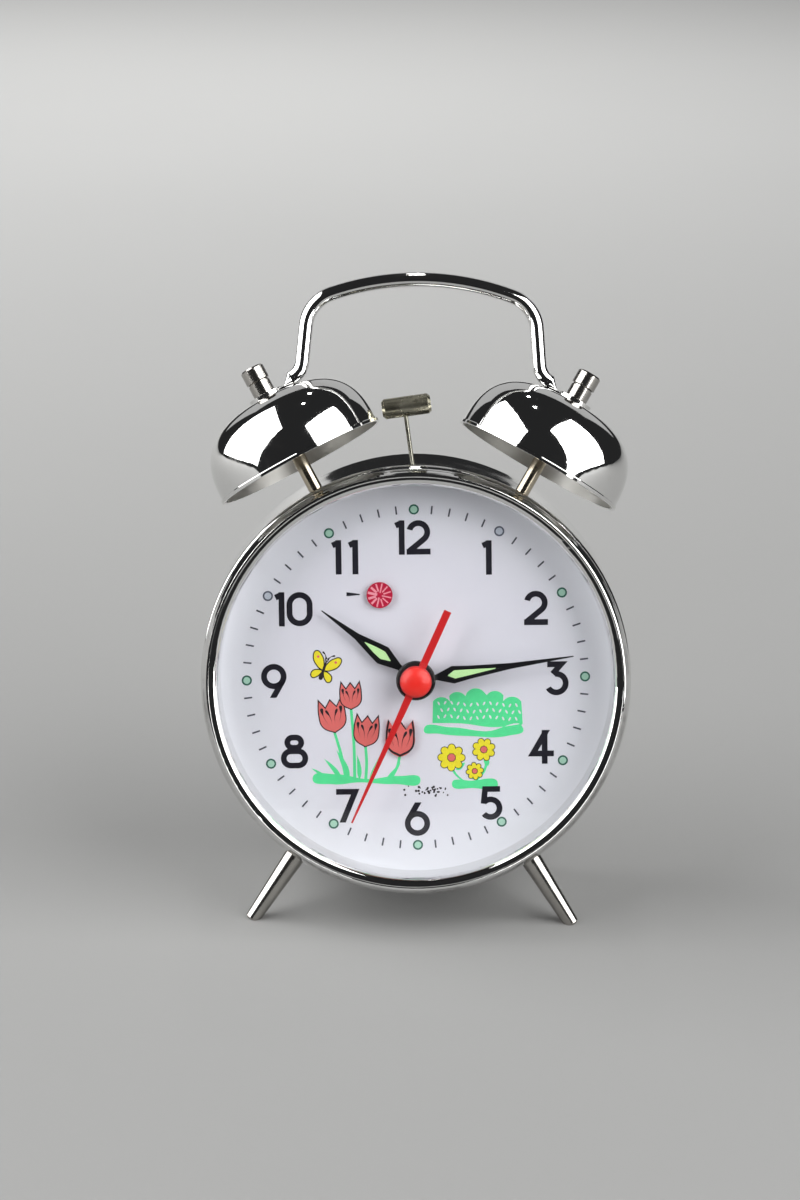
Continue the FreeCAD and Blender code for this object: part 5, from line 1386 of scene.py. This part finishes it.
# Each lamp: where it stands, what it is turned to, its width and height, and its power's setting
LAMPS = (
    ("left_softbox", (-0.83, -0.12, 0.58), CLOCK_MIDDLE, 1.35, 1.2, "left"),
    ("right_softbox", (0.74, -0.39, 0.58), CLOCK_MIDDLE, 1.05, 1.2, "right"),
    ("paper_lamp", (-0.35, 0.45, 0.85), FAR_PAPER, 1.6, 0.4, "paper_lamp"),
    ("far_lamp", (-0.25, 1.2, 0.95), FAR_PAPER, 1.4, 0.4, "far_lamp"),
    ("upper_spot", (-0.02, 0.55, 0.95), CLOCK_MIDDLE, 0.05, 0.05, "spot"),
    ("top_spot", (-0.02, 0.12, 1.05), CLOCK_MIDDLE, 0.05, 0.05, "spot"),
    ("back_panel", (0, 1.95, 0.80), CLOCK_MIDDLE, 2.8, 1.1, "fill"),
)


def facing(start, goal):
    """The turn that points a lamp or a camera at a goal."""
    return (goal - start).to_track_quat("-Z", "Y")


class CLOCK_OT_studio(Step, bpy.types.Operator):
    """Lay the paper and set up the soft lamps and the camera"""

    bl_idname = "clock.studio"
    bl_label = "Studio"

    def execute(self, context):
        scene = context.scene
        studio = scene.clock_studio
        sheet = bmesh.new()
        middle = Matrix.Translation(PAPER_MIDDLE)
        bmesh.ops.create_grid(sheet, x_segments=1, y_segments=1, size=PAPER_HALF, matrix=middle)
        data = bpy.data.meshes.new("sweep")
        sheet.to_mesh(data)
        sheet.free()
        data.materials.append(paper("sweep_paper", studio.sweep))
        backdrop = new_object("sweep", data)

        for name, place, goal, width, height, setting in LAMPS:
            lamp = bpy.data.lights.new(name, "AREA")
            lamp.shape = "RECTANGLE"
            lamp.size = width
            lamp.size_y = height
            lamp.energy = getattr(studio, setting)
            stand = new_object(name, lamp)
            stand.location = place
            stand.rotation_euler = facing(Vector(place), goal).to_euler()

        world = bpy.data.worlds.new("studio_room")
        world.use_nodes = True
        room = world.node_tree.nodes["Background"]
        room.inputs["Color"].default_value = ROOM_LIGHT
        room.inputs["Strength"].default_value = studio.room
        scene.world = world

        view = bpy.data.cameras.new("photo_camera")
        view.sensor_width = 36
        view.lens = studio.lens
        view.shift_x = studio.shift_x
        view.shift_y = studio.shift_y
        view.clip_start = 0.05
        camera = new_object("photo_camera", view)
        eye = DIAL_FRAME @ (Vector((0, -cos(studio.height), sin(studio.height))) * studio.distance)
        aim = facing(eye, DIAL_FRAME.to_translation()).to_matrix().to_4x4()
        camera.matrix_world = Matrix.Translation(eye) @ aim @ Matrix.Rotation(studio.roll, 4, "Z")
        scene.camera = camera
        scene.view_settings.view_transform = "Standard"
        return {"FINISHED"}


STEPS = (
    CLOCK_OT_bright_case,
    CLOCK_OT_bells,
    CLOCK_OT_turned_fittings,
    CLOCK_OT_hammer,
    CLOCK_OT_crystal,
    CLOCK_OT_dial,
    CLOCK_OT_numerals,
    CLOCK_OT_picture,
    CLOCK_OT_nodding_tulip,
    CLOCK_OT_hands,
    CLOCK_OT_alarm_disc,
    CLOCK_OT_movement,
    CLOCK_OT_back,
    CLOCK_OT_studio,
)

SETTINGS = {
    "clock_metal": MetalSettings,
    "clock_dial": DialSettings,
    "clock_picture": PictureSettings,
    "clock_hands": HandSettings,
    "clock_studio": StudioSettings,
}


class CLOCK_PT_sidebar(bpy.types.Panel):
    """Lists the clock's steps and settings"""

    bl_label = "Wind-up desk clock"
    bl_idname = "CLOCK_PT_sidebar"
    bl_space_type = "VIEW_3D"
    bl_region_type = "UI"
    bl_category = "Clock"

    def draw(self, context):
        for step in STEPS:
            self.layout.operator(step.bl_idname)
        for name, group in SETTINGS.items():
            box = self.layout.box()
            box.label(text=name.replace("_", " ").capitalize())
            for setting in group.__annotations__:
                box.prop(getattr(context.scene, name), setting)


CLASSES = (*SETTINGS.values(), *STEPS, CLOCK_PT_sidebar)


def register():
    for kind in CLASSES:
        bpy.utils.register_class(kind)
    for name, group in SETTINGS.items():
        setattr(bpy.types.Scene, name, PointerProperty(type=group))


def unregister():
    for name in SETTINGS:
        delattr(bpy.types.Scene, name)
    for kind in reversed(CLASSES):
        bpy.utils.unregister_class(kind)


def main():
    """Build every step in order."""
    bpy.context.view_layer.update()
    register()
    for step in STEPS:
        group, name = step.bl_idname.split(".")
        getattr(getattr(bpy.ops, group), name)()


if __name__ == "__main__":
    main()
